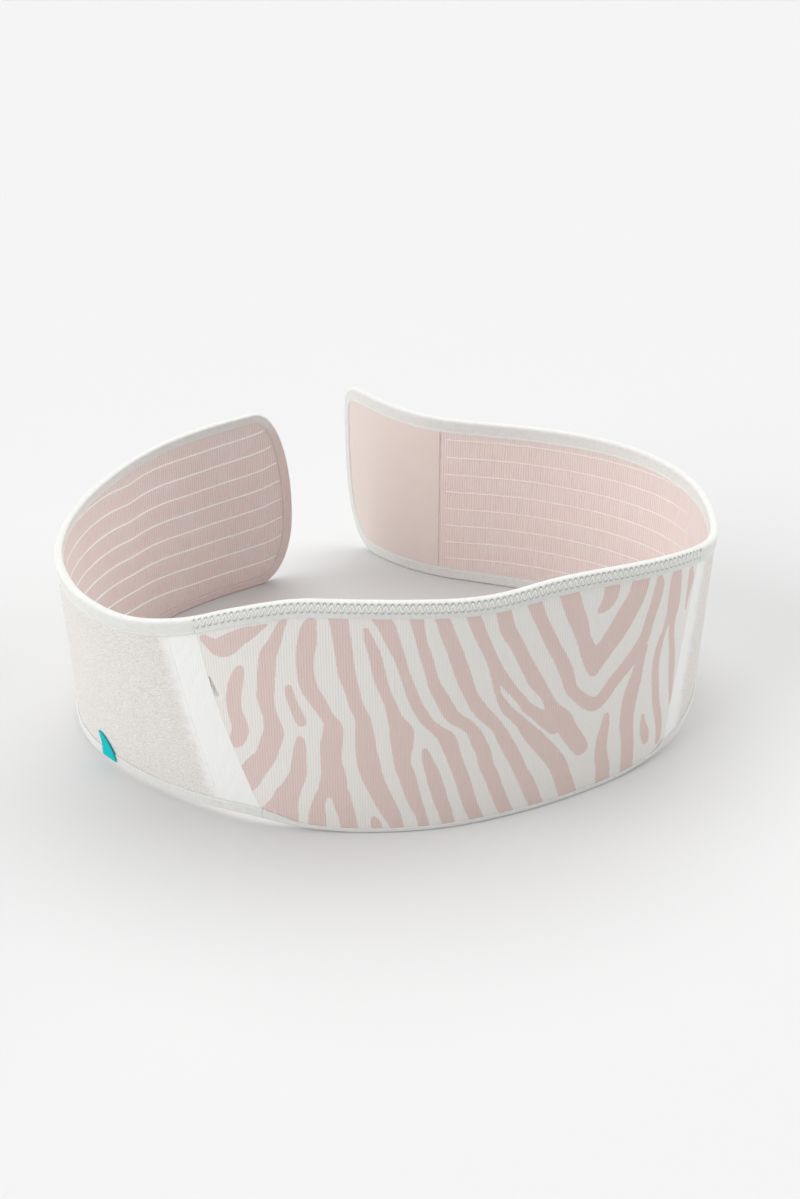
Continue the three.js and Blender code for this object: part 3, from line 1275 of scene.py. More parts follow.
@dataclass
class FoldedTape:
    """A tape folded over an edge of the belt."""

    name: str
    node: str
    route: Route
    fold: Fold
    column: float = 1.5 * MM
    rows: int = 30
    relief: Relief = unraised

    def warp(self, x: Floats, y: Floats, z: Floats) -> tuple[Floats, Floats, Floats]:
        """Folds the flat tape and lays it along its route.

        Args:
            x: Places along the flat piece.
            y: Places across it.
            z: Places through it.

        Returns:
            s, z and out of those places.
        """
        travel = x * self.route.length
        inset, out = self.fold.at(y, z)
        raised = z + np.where(z > 0, self.relief(travel, inset, out), 0)
        inset, out = self.fold.at(y, raised)
        return (*self.route.point(travel, inset, out), out)

    def build(self) -> bpy.types.Object:
        """Cuts, thickens, folds and lays the tape, and rounds its cut edges.

        Returns:
            The tape.
        """
        columns = round(self.route.length / self.column)
        piece = Workbench.laid_cloth(self.name, columns, self.rows, self.fold.thickness, self.warp)
        Workbench.round_edges(piece)
        return piece

    def declare(self, rests_on: str, with_pieces: list[bpy.types.Object]) -> None:
        """Args:
            rests_on: Name of what it is folded over; not used.
            with_pieces: The pieces sewn on it; not used.
        """
        flat = (self.fold.length, self.route.length)


@dataclass
class StitchRow:
    """A row of stitches through a tape, from needle hole to needle hole.

    Attributes:
        name: Name of the piece.
        route: Route of the tape that it is sewn through.
        holes: Rows of distance along the tape and inset from its edge.
        face: The tape's face that it shows on.
        radius: Half of the thread's thickness.
        arch: How far the thread stands off the cloth midway.
        weak: Thickness of every second thread, as a share of the others'.
        sunk: Depth of the thread's middle in the cloth at its holes, in radii.
        sides: Sides of each thread.
        cuts: Cuts along each thread.
    """

    name: str
    route: Route
    holes: Floats
    face: Face
    radius: float
    arch: float
    weak: float = 1.0
    sunk: float = 0.6
    sides: int = 6
    cuts: int = 3

    def warp(self, x: Floats, y: Floats, z: Floats) -> tuple[Floats, Floats, Floats]:
        """Lays each thread between its two needle holes.

        Args:
            x: Places along the flat piece.
            y: Places across it.
            z: Places through it.

        Returns:
            s, z and out of those places.
        """
        number, t = Workbench.thread_places(x)
        start, end = self.holes[number], self.holes[number + 1]
        along = (end - start) / np.linalg.norm(end - start, axis=1)[:, None]
        centre = mix(start, end, t[:, None])
        radius = self.radius * np.where(number % 2 == 0, 1, self.weak)
        travel = centre[:, 0] - along[:, 1] * y * radius
        inset = centre[:, 1] + along[:, 0] * y * radius
        surface = self.route.fold.middle(inset) + self.route.fold.thickness / 2
        lift = self.arch * (1 - (2 * t - 1) ** 4) - self.sunk * radius + z * radius
        side = self.face.value
        return (*self.route.point(travel, inset, side * surface), side * (surface + lift))

    def build(self, finish: bpy.types.Material) -> bpy.types.Object:
        """Sews the row and dresses it.

        Args:
            finish: Material of the thread.

        Returns:
            The row.
        """
        piece = Workbench.thread(self.name, self.sides, self.cuts, len(self.holes) - 1)
        Workbench.lay(piece, self.warp)
        return Workbench.dress(piece, finish, Slot.TRIM)


@dataclass(frozen=True)
class Stripe:
    """A printed stripe: places along its middle, as (s, z, half of its width), in mm."""

    middle: tuple[tuple[float, float, float], ...]

    def smooth_middle(self, steps: int = 4) -> Floats:
        """The middle's places on a smooth curve, in metres.

        Args:
            steps: Steps from one charted place to the next.

        Returns:
            Rows of s, z and half width.
        """
        rows = np.array(self.middle, float) * MM
        if len(rows) < 3:
            return rows
        knots = np.arange(len(rows), dtype=float)
        at = np.linspace(0, len(rows) - 1, (len(rows) - 1) * steps + 1)
        return np.stack([hermite(knots, column, at) for column in rows.T], axis=1)

    def distance(self, s: Floats, z: Floats) -> Floats:
        """Distance of places on the cloth from the stripe's outline, less than 0 within it.

        Args:
            s: Distances along the belt.
            z: Heights.

        Returns:
            The distances.
        """
        nearest = np.full(s.shape, 1.0)
        rows = self.smooth_middle()
        for start, end in zip(rows[:-1], rows[1:]):
            gap, t = segment_gap(s, z, start[:2], end[:2])
            nearest = np.minimum(nearest, gap - mix(start[2], end[2], t))
        return nearest


# The front's stripes, charted from left to right
ZEBRA = (
    Stripe(((374, 125.5, 3), (378, 122.5, 4.5), (382, 121, 6), (387, 124.5, 6), (392, 129, 5),
            (398, 133, 4), (403, 136, 2.2), (408, 139, 0.8))),
    Stripe(((392, 109, 2), (391, 106, 3), (389, 99, 4), (387, 89, 4.3), (387, 80, 4.4), (389, 70, 5),
            (389, 65, 5), (387, 59, 4.5), (385, 56, 3))),
    Stripe(((417, 142, 1.8), (414, 135, 2.8), (412, 129, 3.4), (408, 120, 4.6), (406.5, 110, 4.9),
            (405.5, 99, 4.9), (405, 89, 4.8), (407, 79, 4.3), (408.5, 69, 5.6), (407, 62.5, 6),
            (403, 50.5, 6), (399.5, 45, 6.5), (395.5, 39, 7), (394, 33.5, 6), (393, 28, 3.8),
            (392.5, 24, 1.5))),
    Stripe(((396, 38, 5), (388.5, 38, 2.5))),
    Stripe(((423, 64.5, 2.3), (423, 60, 3.3), (422, 50, 4.2), (421, 40, 4.8), (417, 30, 5.8),
            (413, 20, 7.5), (414, 8, 6.5))),
    Stripe(((413, 20, 7), (399.5, 10, 1.8))),
    Stripe(((418, 99, 2.2), (418.5, 94, 2.6), (420.5, 87, 2.8), (423, 80, 3.2), (424, 76.5, 3))),
    Stripe(((431.5, 142, 2.8), (430, 138, 4.2), (429, 130, 5.2), (427.5, 120, 4.9), (427.5, 110, 4.7),
            (429, 100, 4.8), (434, 90, 4.5), (439, 80, 3.8), (441.5, 73, 5.5), (440, 60, 6),
            (440, 50, 6), (441, 40, 7), (440.5, 32.5, 8))),
    Stripe(((434.5, 28, 3.5), (432, 20, 3.8), (431, 11.5, 5), (431, 1, 5.2))),
    Stripe(((444.5, 28, 5.3), (446, 20, 5.3), (448, 11.5, 4.9), (449.5, 1, 4.9))),
    Stripe(((445.5, 146, 5.2), (447.5, 130, 4.9), (449.5, 110, 4.7), (452, 100, 4.1), (454, 90, 3.9),
            (457.5, 80, 4.2), (458.5, 70, 5.2), (459, 60, 5.8), (460.5, 50, 6.3), (462.5, 40, 6),
            (466, 30, 5.6), (470, 20, 5.4), (473.5, 11.5, 4.8), (477, 1, 3.6))),
    Stripe(((460, 137.5, 1.6), (462, 130, 2.8), (465, 120, 3.3), (466.5, 110, 3.6), (469, 100, 3.2),
            (472.5, 90, 3.2), (475, 80, 4.1), (478, 72.5, 6), (479, 67, 6.7), (479, 50, 4.7),
            (481.5, 40, 4.7), (484, 30, 4.4), (486.5, 20, 3.9), (489.5, 11.5, 3.1), (492, 1, 3))),
    Stripe(((463, 10.5, 1.5), (464, 6.5, 3), (465, 1.5, 3.2))),
    Stripe(((467, 146, 4.5), (471, 139, 4.5), (474, 130, 4), (477.5, 120, 3.1), (480, 110, 2.8),
            (483, 100, 3), (486, 90, 3.3), (490.5, 80, 3.3), (493.5, 75, 3.2), (498, 70, 3.3),
            (502.5, 65, 4.3), (505, 60, 4.8), (508, 50, 4.2), (511, 40, 4.2), (514, 30, 4.3),
            (516.5, 20, 4.2), (519, 11.5, 4.2), (523, 1, 3.9))),
    Stripe(((491.5, 56.5, 1.7), (493, 50, 2.9), (496, 40, 3.9), (498.5, 30, 4.2), (501, 20, 4.2),
            (503.5, 11.5, 3.9), (506, 1, 3.6))),
    Stripe(((486, 146, 3.9), (489, 130, 2.9), (491.5, 120, 3.3), (494, 110, 3.1), (496.5, 100, 3.4),
            (501, 90, 3.9), (505.5, 80, 4.2), (509.5, 75, 3.9), (515.5, 70, 3.7), (519, 65, 3.7),
            (521, 60, 4.2), (525, 50, 4.3), (527, 40, 4.3), (531, 30, 4.2), (534, 20, 4.2),
            (541, 1, 4.1))),
    Stripe(((499, 146, 3.6), (504, 130, 4.1), (507.5, 120, 4.2), (510.5, 110, 4.3), (513.5, 100, 4.3),
            (517, 90, 3.8), (522, 80, 4.2), (529.5, 70, 3.9), (533, 65, 3.5), (535.5, 60, 3.9),
            (540, 50, 4.2), (544.5, 40, 4.2), (548.5, 30, 4.1), (553, 20, 4.6), (560, 1, 4.3))),
    Stripe(((515.5, 146, 4), (521, 130, 3.7), (525, 120, 3.4), (529, 110, 3.4), (532, 101.5, 4.2))),
    Stripe(((531, 101.5, 3.5), (532, 90, 1.6), (536, 80, 2.8), (539, 75, 3), (543.5, 69.5, 3.2),
            (547.5, 64.5, 3.5), (551, 59, 4.3), (557.5, 50, 5.1), (564.5, 40, 5.4), (571, 30, 5.6),
            (575, 20, 5.6), (581.5, 1, 5.7))),
    Stripe(((532.5, 101.5, 3.8), (540, 90, 3), (547, 80, 2.8), (550, 75, 3.3), (555, 70, 3.6),
            (561, 64, 4.5), (569, 57, 6))),
    Stripe(((533, 146, 4.4), (536.5, 130, 4.4), (541.5, 120, 4), (546, 110, 4), (550.5, 100, 4.2),
            (555.5, 90, 4.3), (561.5, 80, 3.3), (566, 70, 4.2), (573, 60, 5.8), (578, 50, 5.7),
            (584, 40, 5.5), (587.5, 34, 4.8))),
    Stripe(((550.5, 146, 4.4), (556.5, 130, 3.8), (561, 120, 3.9), (565.5, 110, 4), (570.5, 100, 4.1),
            (574.5, 90, 4.1), (577.5, 80, 3.8), (583, 72.5, 3.7), (589.5, 66, 4.3), (595.5, 63.5, 5),
            (601, 67.5, 4.8), (607, 75, 4.8), (614.5, 82, 5), (621.5, 90, 5), (626.5, 98, 4.3),
            (629, 108, 3.9), (632, 120, 4), (633.5, 130, 3.7), (633, 136, 1.8))),
    Stripe(((572, 146, 6), (577, 130, 5.6), (581, 120, 5.2), (584, 110, 4.4), (588, 100.5, 5.5),
            (592, 94, 7), (592, 87, 3.5))),
    Stripe(((620, 144, 6), (617.5, 130, 6.8), (612, 120, 7.5), (607, 111.5, 7.5), (600.5, 103, 7),
            (594, 96, 7.5))),
    Stripe(((600, 146, 5.5), (599.5, 135, 5), (597, 130, 4.3), (593, 127, 2))),
    Stripe(((603.5, 52, 2), (603.5, 45, 3.2), (602, 34, 4.2), (602.5, 23, 4.6), (605, 11.5, 5),
            (605.5, 1, 5.3))),
    Stripe(((626, 90, 4), (624.5, 78, 4), (623, 69.5, 5.2), (621, 60, 5.8), (620, 50, 5.6),
            (620, 40, 5.3), (621.5, 30, 4.8), (623, 20, 5), (624, 1, 5))),
    Stripe(((633, 39.5, 1.3), (634, 32.5, 2.4), (636.5, 25, 3.5), (638.5, 18, 2.6))),
    Stripe(((646.5, 136, 3.5), (647, 127, 5), (648, 111.5, 5.5), (647.5, 104, 4.8))),
    Stripe(((645, 104, 3), (643, 97, 2), (640.5, 89, 2.6), (639, 78, 2.8), (639.5, 67, 2.9),
            (641.5, 56, 3), (643.5, 45, 3.2), (647, 34, 3.2), (650, 22.5, 2.9), (651, 11.5, 2.5))),
    Stripe(((648.5, 104, 3), (649, 98, 2.6), (650, 89, 2.5), (652.5, 78, 2.7), (654.5, 67, 3),
            (656, 56, 2.6), (657.5, 45, 1.8), (658.5, 36, 0.7))),
    Stripe(((660.5, 129.5, 2), (662, 121.5, 3), (661, 111.5, 1.6), (661, 102.5, 0.7))),
)


@dataclass
class PrintedFront:
    """The padded front with its trim, its hem and its zigzag stitches."""

    finishes: Finishes
    pitch: float = 1.25 * MM
    trim_width: float = 10 * MM
    hem_width: float = 3.2 * MM
    hem_end_width: float = 7 * MM
    zigzag_pitch: float = 3.5 * MM
    zigzag_top: float = 1.5 * MM
    zigzag_bottom: float = 6.1 * MM
    needle_reach: float = 0.72 * MM
    needle_pull: float = 0.55 * MM
    swell: float = 0.2 * MM
    swell_reach: float = 2.2 * MM
    crease: float = 0.15 * MM
    crease_inset: float = 1.5 * MM
    crease_reach: float = 0.5 * MM
    puff: float = 1.3 * MM
    slit_top: tuple[float, float] = (373.8 * MM, 99 * MM)
    slit_bottom: tuple[float, float] = (377.8 * MM, 88 * MM)
    slit_width: float = 1.7 * MM
    slit_dent: float = 1.1 * MM
    sim_columns: int = 72
    sim_rows: int = 34
    sim_frames: int = 16
    sim_sewn_across: float = 0.49
    sim_sewn_up: float = 0.44

    def flat_place(self, x: Floats, y: Floats) -> tuple[Floats, Floats]:
        """s and z of a place on the panel, given by its shares across and up.

        Args:
            x: Shares across the panel.
            y: Shares up it.

        Returns:
            s and z of those places.
        """
        left = LEFT.print.at(y) + SEAM
        right = RIGHT.print.at(y) - SEAM
        s = mix(left, right, x)
        return s, mix(BELT.low(s) + CLOTH_INSET, BELT.high(s) - CLOTH_INSET, y)

    def slit_depth(self, s: Floats, z: Floats) -> Floats:
        """How deep the seam gapes, 0 to 1, at the small opening beside the band; the same mask paints shade
        into the opening.
        """
        gap, _ = segment_gap(s, z, self.slit_top, self.slit_bottom)
        return 1 - smooth_step(gap, 0, self.slit_width)

    def padding(self) -> Callable[[Floats, Floats], Floats]:
        """Blows a coarse copy of the panel up as cloth, pinned along its seams.

        Returns:
            How far the face stands proud at a share across and a share up.
        """
        proud = np.zeros((self.sim_rows + 1, self.sim_columns + 1))
        proud = self.simulate()

        def read(x: Floats, y: Floats) -> Floats:
            """Height between four of the copy's points.

            Args:
                x: Shares across the panel.
                y: Shares up it.

            Returns:
                The heights.
            """
            column = np.clip(x, 0, 1) * self.sim_columns
            row = np.clip(y, 0, 1) * self.sim_rows
            i = np.minimum(column.astype(int), self.sim_columns - 1)
            j = np.minimum(row.astype(int), self.sim_rows - 1)
            lower = mix(proud[j, i], proud[j, i + 1], column - i)
            upper = mix(proud[j + 1, i], proud[j + 1, i + 1], column - i)
            return mix(lower, upper, row - j)

        return read

    def simulate(self) -> Floats:
        """Runs the cloth simulation.

        Returns:
            How far each point of the copy's face moved outwards, row by row from below.
        """
        pad = Workbench.cut("padding", self.sim_columns, self.sim_rows)
        Workbench.thicken(pad, 2 * CLOTH_HALF)
        flat = Workbench.points(pad)

        def warp(x: Floats, y: Floats, z: Floats) -> tuple[Floats, Floats, Floats]:
            """Lays the copy as flat as the unpadded panel."""
            return (*self.flat_place(x, y), z)

        Workbench.lay(pad, warp)
        beside = np.abs(flat[:, 0] - 0.5) > self.sim_sewn_across
        below_or_above = np.abs(flat[:, 1] - 0.5) > self.sim_sewn_up
        sewn = beside | below_or_above | (flat[:, 2] < 0)
        group = pad.vertex_groups.new(name="sewn")
        group.add([int(i) for i in np.flatnonzero(sewn)], 1.0, "REPLACE")
        before = Workbench.points(pad)
        cloth = pad.modifiers.new("cloth", "CLOTH")
        cloth.settings.quality = 5
        cloth.settings.mass = 0.2
        cloth.settings.tension_stiffness = 12
        cloth.settings.compression_stiffness = 12
        cloth.settings.bending_stiffness = 0.6
        cloth.settings.use_pressure = True
        cloth.settings.uniform_pressure_force = 4
        cloth.settings.vertex_group_mass = group.name
        cloth.settings.effector_weights.gravity = 0
        for step in range(1, self.sim_frames + 1):
            bpy.context.scene.frame_set(step)
        Workbench.pick(pad)
        bpy.ops.object.modifier_apply(modifier=cloth.name)
        moved = Workbench.points(pad) - before
        heading = np.radians(BELT.value("heading", Workbench.cloth(pad)[:, 0]))
        outwards = np.stack([np.sin(heading), -np.cos(heading), 0 * heading], axis=1)
        height = np.clip((moved * outwards).sum(1), -self.puff, self.puff)
        face = flat[:, 2] > 0
        column = np.rint(flat[face, 0] * self.sim_columns).astype(int)
        row = np.rint(flat[face, 1] * self.sim_rows).astype(int)
        proud = np.zeros((self.sim_rows + 1, self.sim_columns + 1))
        proud[row, column] = height[face]
        bpy.data.objects.remove(pad)
        bpy.context.scene.frame_set(1)
        log.info("padding: stands %.2f mm proud", proud.max() / MM)
        return proud

    def panel(self) -> bpy.types.Object:
        """Cuts the panel, puffs its face up and prints it.

        Returns:
            The panel.
        """
        padding = self.padding()
        columns = round((RIGHT.print.top - LEFT.print.top) * BELT.length / self.pitch)
        rows = round(BELT.front_height / self.pitch)

        def warp(x: Floats, y: Floats, z: Floats) -> tuple[Floats, Floats, Floats]:
            """Lays the panel, with its padding and the small opening at its seam.

            Args:
                x: Places along the flat piece.
                y: Places across it.
                z: Places through it.

            Returns:
                s, z and out of those places.
            """
            s, height = self.flat_place(x, y)
            dent = self.slit_dent * self.slit_depth(s, height)
            return s, height, z + np.where(z > 0, padding(x, y) - dent, 0)

        piece = Workbench.laid_cloth("printed_front", columns, rows, 2 * CLOTH_HALF, warp)
        s, z, out = Workbench.cloth(piece).T
        zebra = np.min([stripe.distance(s, z) for stripe in ZEBRA], axis=0)
        Workbench.paint(piece, "zebra", zebra)
        # Mask of the painted shade in the seam's small opening, outside only.
        Workbench.paint(piece, "seam_gap_shade", np.where(out > 0, self.slit_depth(s, z), 0))
        Workbench.dress(piece, self.finishes.print, Slot.PRINT, ("front_panel",))
        return piece

    def pull_and_shade(self, travel: Floats, inset: Floats) -> Floats:
        """How much the thread pulls the trim in, 0 to 1, round the needle holes; the same mask paints shade
        into the holes.

        Args:
            travel: Distances along the trim.
            inset: Insets from its edge.

        Returns:
            The pull at those places.
        """
        found = np.zeros_like(travel)
        for level, shift in ((self.zigzag_top, 0.0), (self.zigzag_bottom, 0.5)):
            turns = travel / self.zigzag_pitch - shift
            along = (turns - np.rint(turns)) * self.zigzag_pitch
            spread = (along**2 + (inset - level) ** 2) / self.needle_reach**2
            found = np.maximum(found, np.exp(-spread))
        return found

    def trim_relief(self, travel: Floats, inset: Floats, out: Floats) -> Floats:
        """Relief of the trim: pulled in at the needle holes, swollen between them.

        Args:
            travel: Distances along the tape.
            inset: Insets from its edge.
            out: Distances outwards from the middle of the wall; not used.

        Returns:
            The relief at those places.
        """
        middle = (self.zigzag_top + self.zigzag_bottom) / 2
        swell = np.exp(-(((inset - middle) / self.swell_reach) ** 2)) * self.swell
        from_crease = inset - self.trim_width + self.crease_inset
        crease = np.exp(-((from_crease / self.crease_reach) ** 2)) * self.crease
        return swell - crease - self.needle_pull * self.pull_and_shade(travel, inset)

    def trim(self) -> tuple[FoldedTape, list[bpy.types.Object]]:
        """Folds the trim over the upper edge and sews it down with zigzags on both faces.

        Returns:
            The tape, and the pieces: the trim itself and its zigzags.
        """
        fold = Fold(self.trim_width)
        route = FrontEdge(Edge.UPPER, fold, self.trim_width)
        tape = FoldedTape(
            "front_trim", "front_top_trim", route, fold, column=0.6 * MM, rows=44, relief=self.trim_relief
        )
        piece = tape.build()
        s, z, _ = Workbench.cloth(piece).T
        # Keeps the pull round the needle holes as the mask of their painted shade.
        Workbench.paint(piece, "pull_and_shade", self.pull_and_shade(s - route.start, BELT.high(s) - z))
        Workbench.dress(piece, self.finishes.trim, Slot.TRIM, (tape.node,))
        number = np.arange(int(route.length / self.zigzag_pitch) * 2)
        level = np.where(number % 2 == 0, self.zigzag_top, self.zigzag_bottom)
        holes = np.stack([number * self.zigzag_pitch / 2, level], axis=1)
        rows = [
            StitchRow(
                f"zigzag_{face.name.lower()}", route, holes, face,
                radius=0.5 * MM, arch=0.45 * MM, weak=0.65,
            ).build(self.finishes.thread)
            for face in Face
        ]
        return tape, [piece, *rows]

    def hem(self) -> bpy.types.Object:
        """Folds the narrow hem over the lower edge.

        Returns:
            The hem.
        """
        fold = Fold(self.hem_width, depth=1.2 * MM, settle=1.4 * MM)
        route = FrontEdge(Edge.LOWER, fold, self.hem_end_width)
        tape = FoldedTape("front_hem", "front_bottom_hem", route, fold, rows=18)
        return Workbench.dress(tape.build(), self.finishes.trim, Slot.TRIM, (tape.node,))

    def build(self) -> list[bpy.types.Object]:
        """Builds the front.

        Returns:
            The pieces.
        """
        panel = self.panel()
        trim, trim_pieces = self.trim()
        trim.declare("printed_front", trim_pieces[1:])
        return [panel, *trim_pieces, self.hem()]


@dataclass(frozen=True)
class LineRow:
    """Where the rubber lines lie at one s: offsets of the lowest and the highest line, all in mm."""

    s: float
    lowest: float
    highest: float


@dataclass(frozen=True)
class RubberLines:
    """The rubber lines in a tail's elastic.

    Attributes:
        first: Height of the lowest line, in mm.
        spacing: Distance between the lines, in mm.
        rows: Offsets of the lines along the tail.
        faded: s where the lines have sunk into the cloth, in mm.
        strong: s where they stand at their full height, in mm.
        half_width: Half of a line's width, in mm.
        count: Number of lines.
    """

    first: float
    spacing: float
    rows: tuple[LineRow, ...]
    faded: float
    strong: float
    half_width: float
    count: int = 8

    def height(self, number: Floats, s: Floats) -> Floats:
        """Height of a line at s.

        Args:
            number: Number of the line, from below.
            s: Distances along the belt.

        Returns:
            The heights.
        """
        knots = np.array([row.s for row in self.rows]) * MM
        at = np.clip(s, knots[0], knots[-1])
        lowest = hermite(knots, np.array([row.lowest for row in self.rows], float), at)
        highest = hermite(knots, np.array([row.highest for row in self.rows], float), at)
        offset = mix(lowest, highest, number / (self.count - 1))
        return (self.first + number * self.spacing + offset) * MM


LEFT_LINES = RubberLines(
    18, 14.15, faded=232, strong=165, half_width=0.62,
    rows=(
        LineRow(0, 5, 7), LineRow(10, 3, 5), LineRow(25, 0.3, 1.2), LineRow(60, -0.3, -1.3),
        LineRow(80, 0.2, -1.8), LineRow(100, 2.3, -1.0), LineRow(115, 4, -1.2), LineRow(130, 4.8, -2.2),
        LineRow(145, 6, 0), LineRow(160, 7.5, 1.5), LineRow(190, 10, 3.5), LineRow(230, 12, 5),
    ),
)
RIGHT_LINES = RubberLines(
    19.5, 13.3, faded=770, strong=860, half_width=0.5,
    rows=(
        LineRow(760, 6, 6), LineRow(800, 4, 4), LineRow(830, 2, 2), LineRow(870, 0.5, 0.5),
        LineRow(900, 0.3, 0), LineRow(930, -0.4, -0.8), LineRow(960, -2.7, -2.7), LineRow(970, -3, -3),
    ),
)


@dataclass
class SideTail:
    """One tail: loop fabric outside, elastic inside, joining band and binding."""

    ROUNDED_SHARE: ClassVar[float] = 0.95

    tail: TailShape
    lines: RubberLines
    finishes: Finishes
    outer: Widths
    inner: Widths
    painted_bounce_share: float
    line_start: float
    column: float = 1.8 * MM
    rows: int = 56
    tip_gap: float = 0.4 * MM
    line_height: float = 0.95 * MM
    line_cuts: int = 110
    stitch: float = 2.9 * MM
    stitch_inset: float = 1.5 * MM
    stitch_pull: float = 0.3 * MM
    stitch_reach: float = 0.8 * MM
    pile_swell: float = 0.35 * MM
    pile_ripple: float = 0.12 * MM
    band_fold: float = 0.16 * MM
    elastic_swell: float = 0.3 * MM

    def cloth_layer(
        self, name: str, start: Callable[[Floats], Floats], end: Callable[[Floats], Floats],
        faces: tuple[float, float], relief: Relief,
    ) -> bpy.types.Object:
        """Cuts and lays one layer of the tail.

        Args:
            name: Name of the piece.
            start: s of the layer's one side at a share of the height.
            end: s of its other side.
            faces: Its inner and its outer face, as distances outwards.
            relief: How far its visible face stands proud at s, z and out.

        Returns:
            The laid piece.
        """
        length = abs(float(end(0.5)) - float(start(0.5)))
        columns = max(6, round(length / self.column))
        inside, outside = faces

        def warp(x: Floats, y: Floats, z: Floats) -> tuple[Floats, Floats, Floats]:
            """Lays the layer between its seams and the tail's edges.

            Args:
                x: Places along the flat piece.
                y: Places across it.
                z: Places through it.

            Returns:
                s, z and out of those places.
            """
            s = mix(start(y), end(y), x)
            low, high = self.tail.edges(s, CLOTH_INSET, CLOTH_INSET, CLOTH_INSET)
            height = mix(low, high, y)
            out = (inside + outside) / 2 + z
            seen = (out > 0) == (outside > 0.5 * MM)
            proud = np.where(seen & (np.abs(out) > GAP), relief(s, height, out), 0)
            return s, height, out + proud * np.sign(out)

        return Workbench.laid_cloth(name, columns, self.rows, outside - inside, warp)

    def seam(self, line: SeamLine, gap: float) -> Callable[[Floats], Floats]:
        """s along a seam, moved towards the front by a gap.

        Args:
            line: The seam.
            gap: How far it is moved.

        Returns:
            s at a share of the height.
        """

        def at(share: Floats) -> Floats:
            """s at a share of the wall's height."""
            return line.at(share) - self.tail.side * gap

        return at

    def tip(self, share: Floats) -> Floats:
        """s of the layers' first column, just behind the tail's tip."""
        return self.tail.s_at(CLOTH_INSET + self.tip_gap + 0 * share)

    def from_band(self, s: Floats, z: Floats) -> Floats:
        """Distance from the joining band."""
        return np.abs(s - self.tail.loop.at(BELT.share(s, z)))

    def pile_relief(self, s: Floats, z: Floats, out: Floats) -> Floats:
        """Loop fabric is pressed flat beside its seams and swells a little between.

        Args:
            s: Distances along the belt.
            z: Heights.
            out: Distances outwards from the middle of the wall; not used.

        Returns:
            The relief at those places.
        """
        low, high = BELT.low(s), BELT.high(s)
        middle = smooth_step(np.minimum(z - low, high - z), 9 * MM, 22 * MM)
        middle = middle * smooth_step(self.from_band(s, z), 0, 12 * MM)
        ripple = np.sin(s / (31 * MM)) * np.sin(z / (23 * MM) + s / (70 * MM))
        return self.pile_swell * middle + self.pile_ripple * ripple * middle

    def band_relief(self, s: Floats, z: Floats, out: Floats) -> Floats:
        """Faint slanting folds in the joining band.

        Args:
            s: Distances along the belt.
            z: Heights.
            out: Distances outwards from the middle of the wall; not used.

        Returns:
            The relief at those places.
        """
        share = BELT.share(s, z)
        loop, front = self.tail.loop.at(share), self.tail.print.at(share)
        across = np.clip((s - loop) / (front - loop), 0, 1)
        slant = s * self.tail.side + 0.45 * z + 3 * MM * np.sin(z / (19 * MM))
        fold = np.sin(2 * np.pi * slant / (8.5 * MM)) + 0.6 * np.sin(2 * np.pi * slant / (5.3 * MM))
        shown = np.sin(np.pi * across) * (0.5 + 0.5 * np.sin(z / (14 * MM)))
        return self.band_fold * fold * shown

    def elastic_relief(self, s: Floats, z: Floats, out: Floats) -> Floats:
        """The elastic swells a little between its rubber lines.

        Args:
            s: Distances along the belt.
            z: Heights.
            out: Distances outwards from the middle of the wall; not used.

        Returns:
            The relief at those places.
        """
        lowest = self.lines.height(0 * s, s)
        turns = (z - lowest) / (self.lines.spacing * MM)
        shown = smooth_step(np.abs(s - self.lines.faded * MM), 0, 60 * MM)
        toward = (s - self.lines.faded * MM) * (self.lines.strong - self.lines.faded) > 0
        return np.where(toward, shown, 0) * self.elastic_swell * np.abs(np.sin(np.pi * turns))

    def rubber(self) -> bpy.types.Object:
        """Lays the rubber lines along the inside of the elastic.

        Returns:
            The lines, as one piece.
        """
        name = f"rubber_lines_{self.tail.hand}"
        piece = Workbench.thread(name, 8, self.line_cuts, self.lines.count)
        start, faded, strong = self.line_start, self.lines.faded * MM, self.lines.strong * MM
        half_width = self.lines.half_width * MM
        tries = np.linspace(start, faded, 400)
        starts = []
        for number in range(self.lines.count):
            low, high = self.tail.edges(tries, self.inner.end, self.inner.lower, self.inner.upper)
            height = self.lines.height(number, tries)
            starts.append(tries[np.argmax((height > low) & (height < high))])
        starts = np.array(starts)

        def warp(x: Floats, y: Floats, z: Floats) -> tuple[Floats, Floats, Floats]:
            """Lays each line from the tail's end until it sinks into the cloth.

            Args:
                x: Places along the flat piece.
                y: Places across it.
                z: Places through it.

            Returns:
                s, z and out of those places.
            """
            number, t = Workbench.thread_places(x)
            s = mix(starts[number], faded, t)
            size = np.clip((s - faded) / (strong - faded), 0, 1) ** 0.5
            size = size * smooth_step(t, -0.004, 0.012)
            height = self.lines.height(number, s) + y * half_width * (0.35 + 0.65 * size)
            proud = self.line_height * (z * 0.5 + 0.15) * size
            return s, height, 0.12 * MM * (1 - size) - CLOTH_HALF - proud

        Workbench.lay(piece, warp)
        return Workbench.dress(piece, self.finishes.rubber[self.tail.hand], Slot.ELASTIC)

    def binding(self) -> tuple[FoldedTape, list[bpy.types.Object]]:
        """Folds the binding round the tail and stitches it down.

        Returns:
            The tape, and the pieces: the binding itself and its stitches.
        """
        fold = Fold(self.outer.upper)
        route = TailEdge(self.tail, self.outer, self.inner, fold)
        hand = self.tail.hand

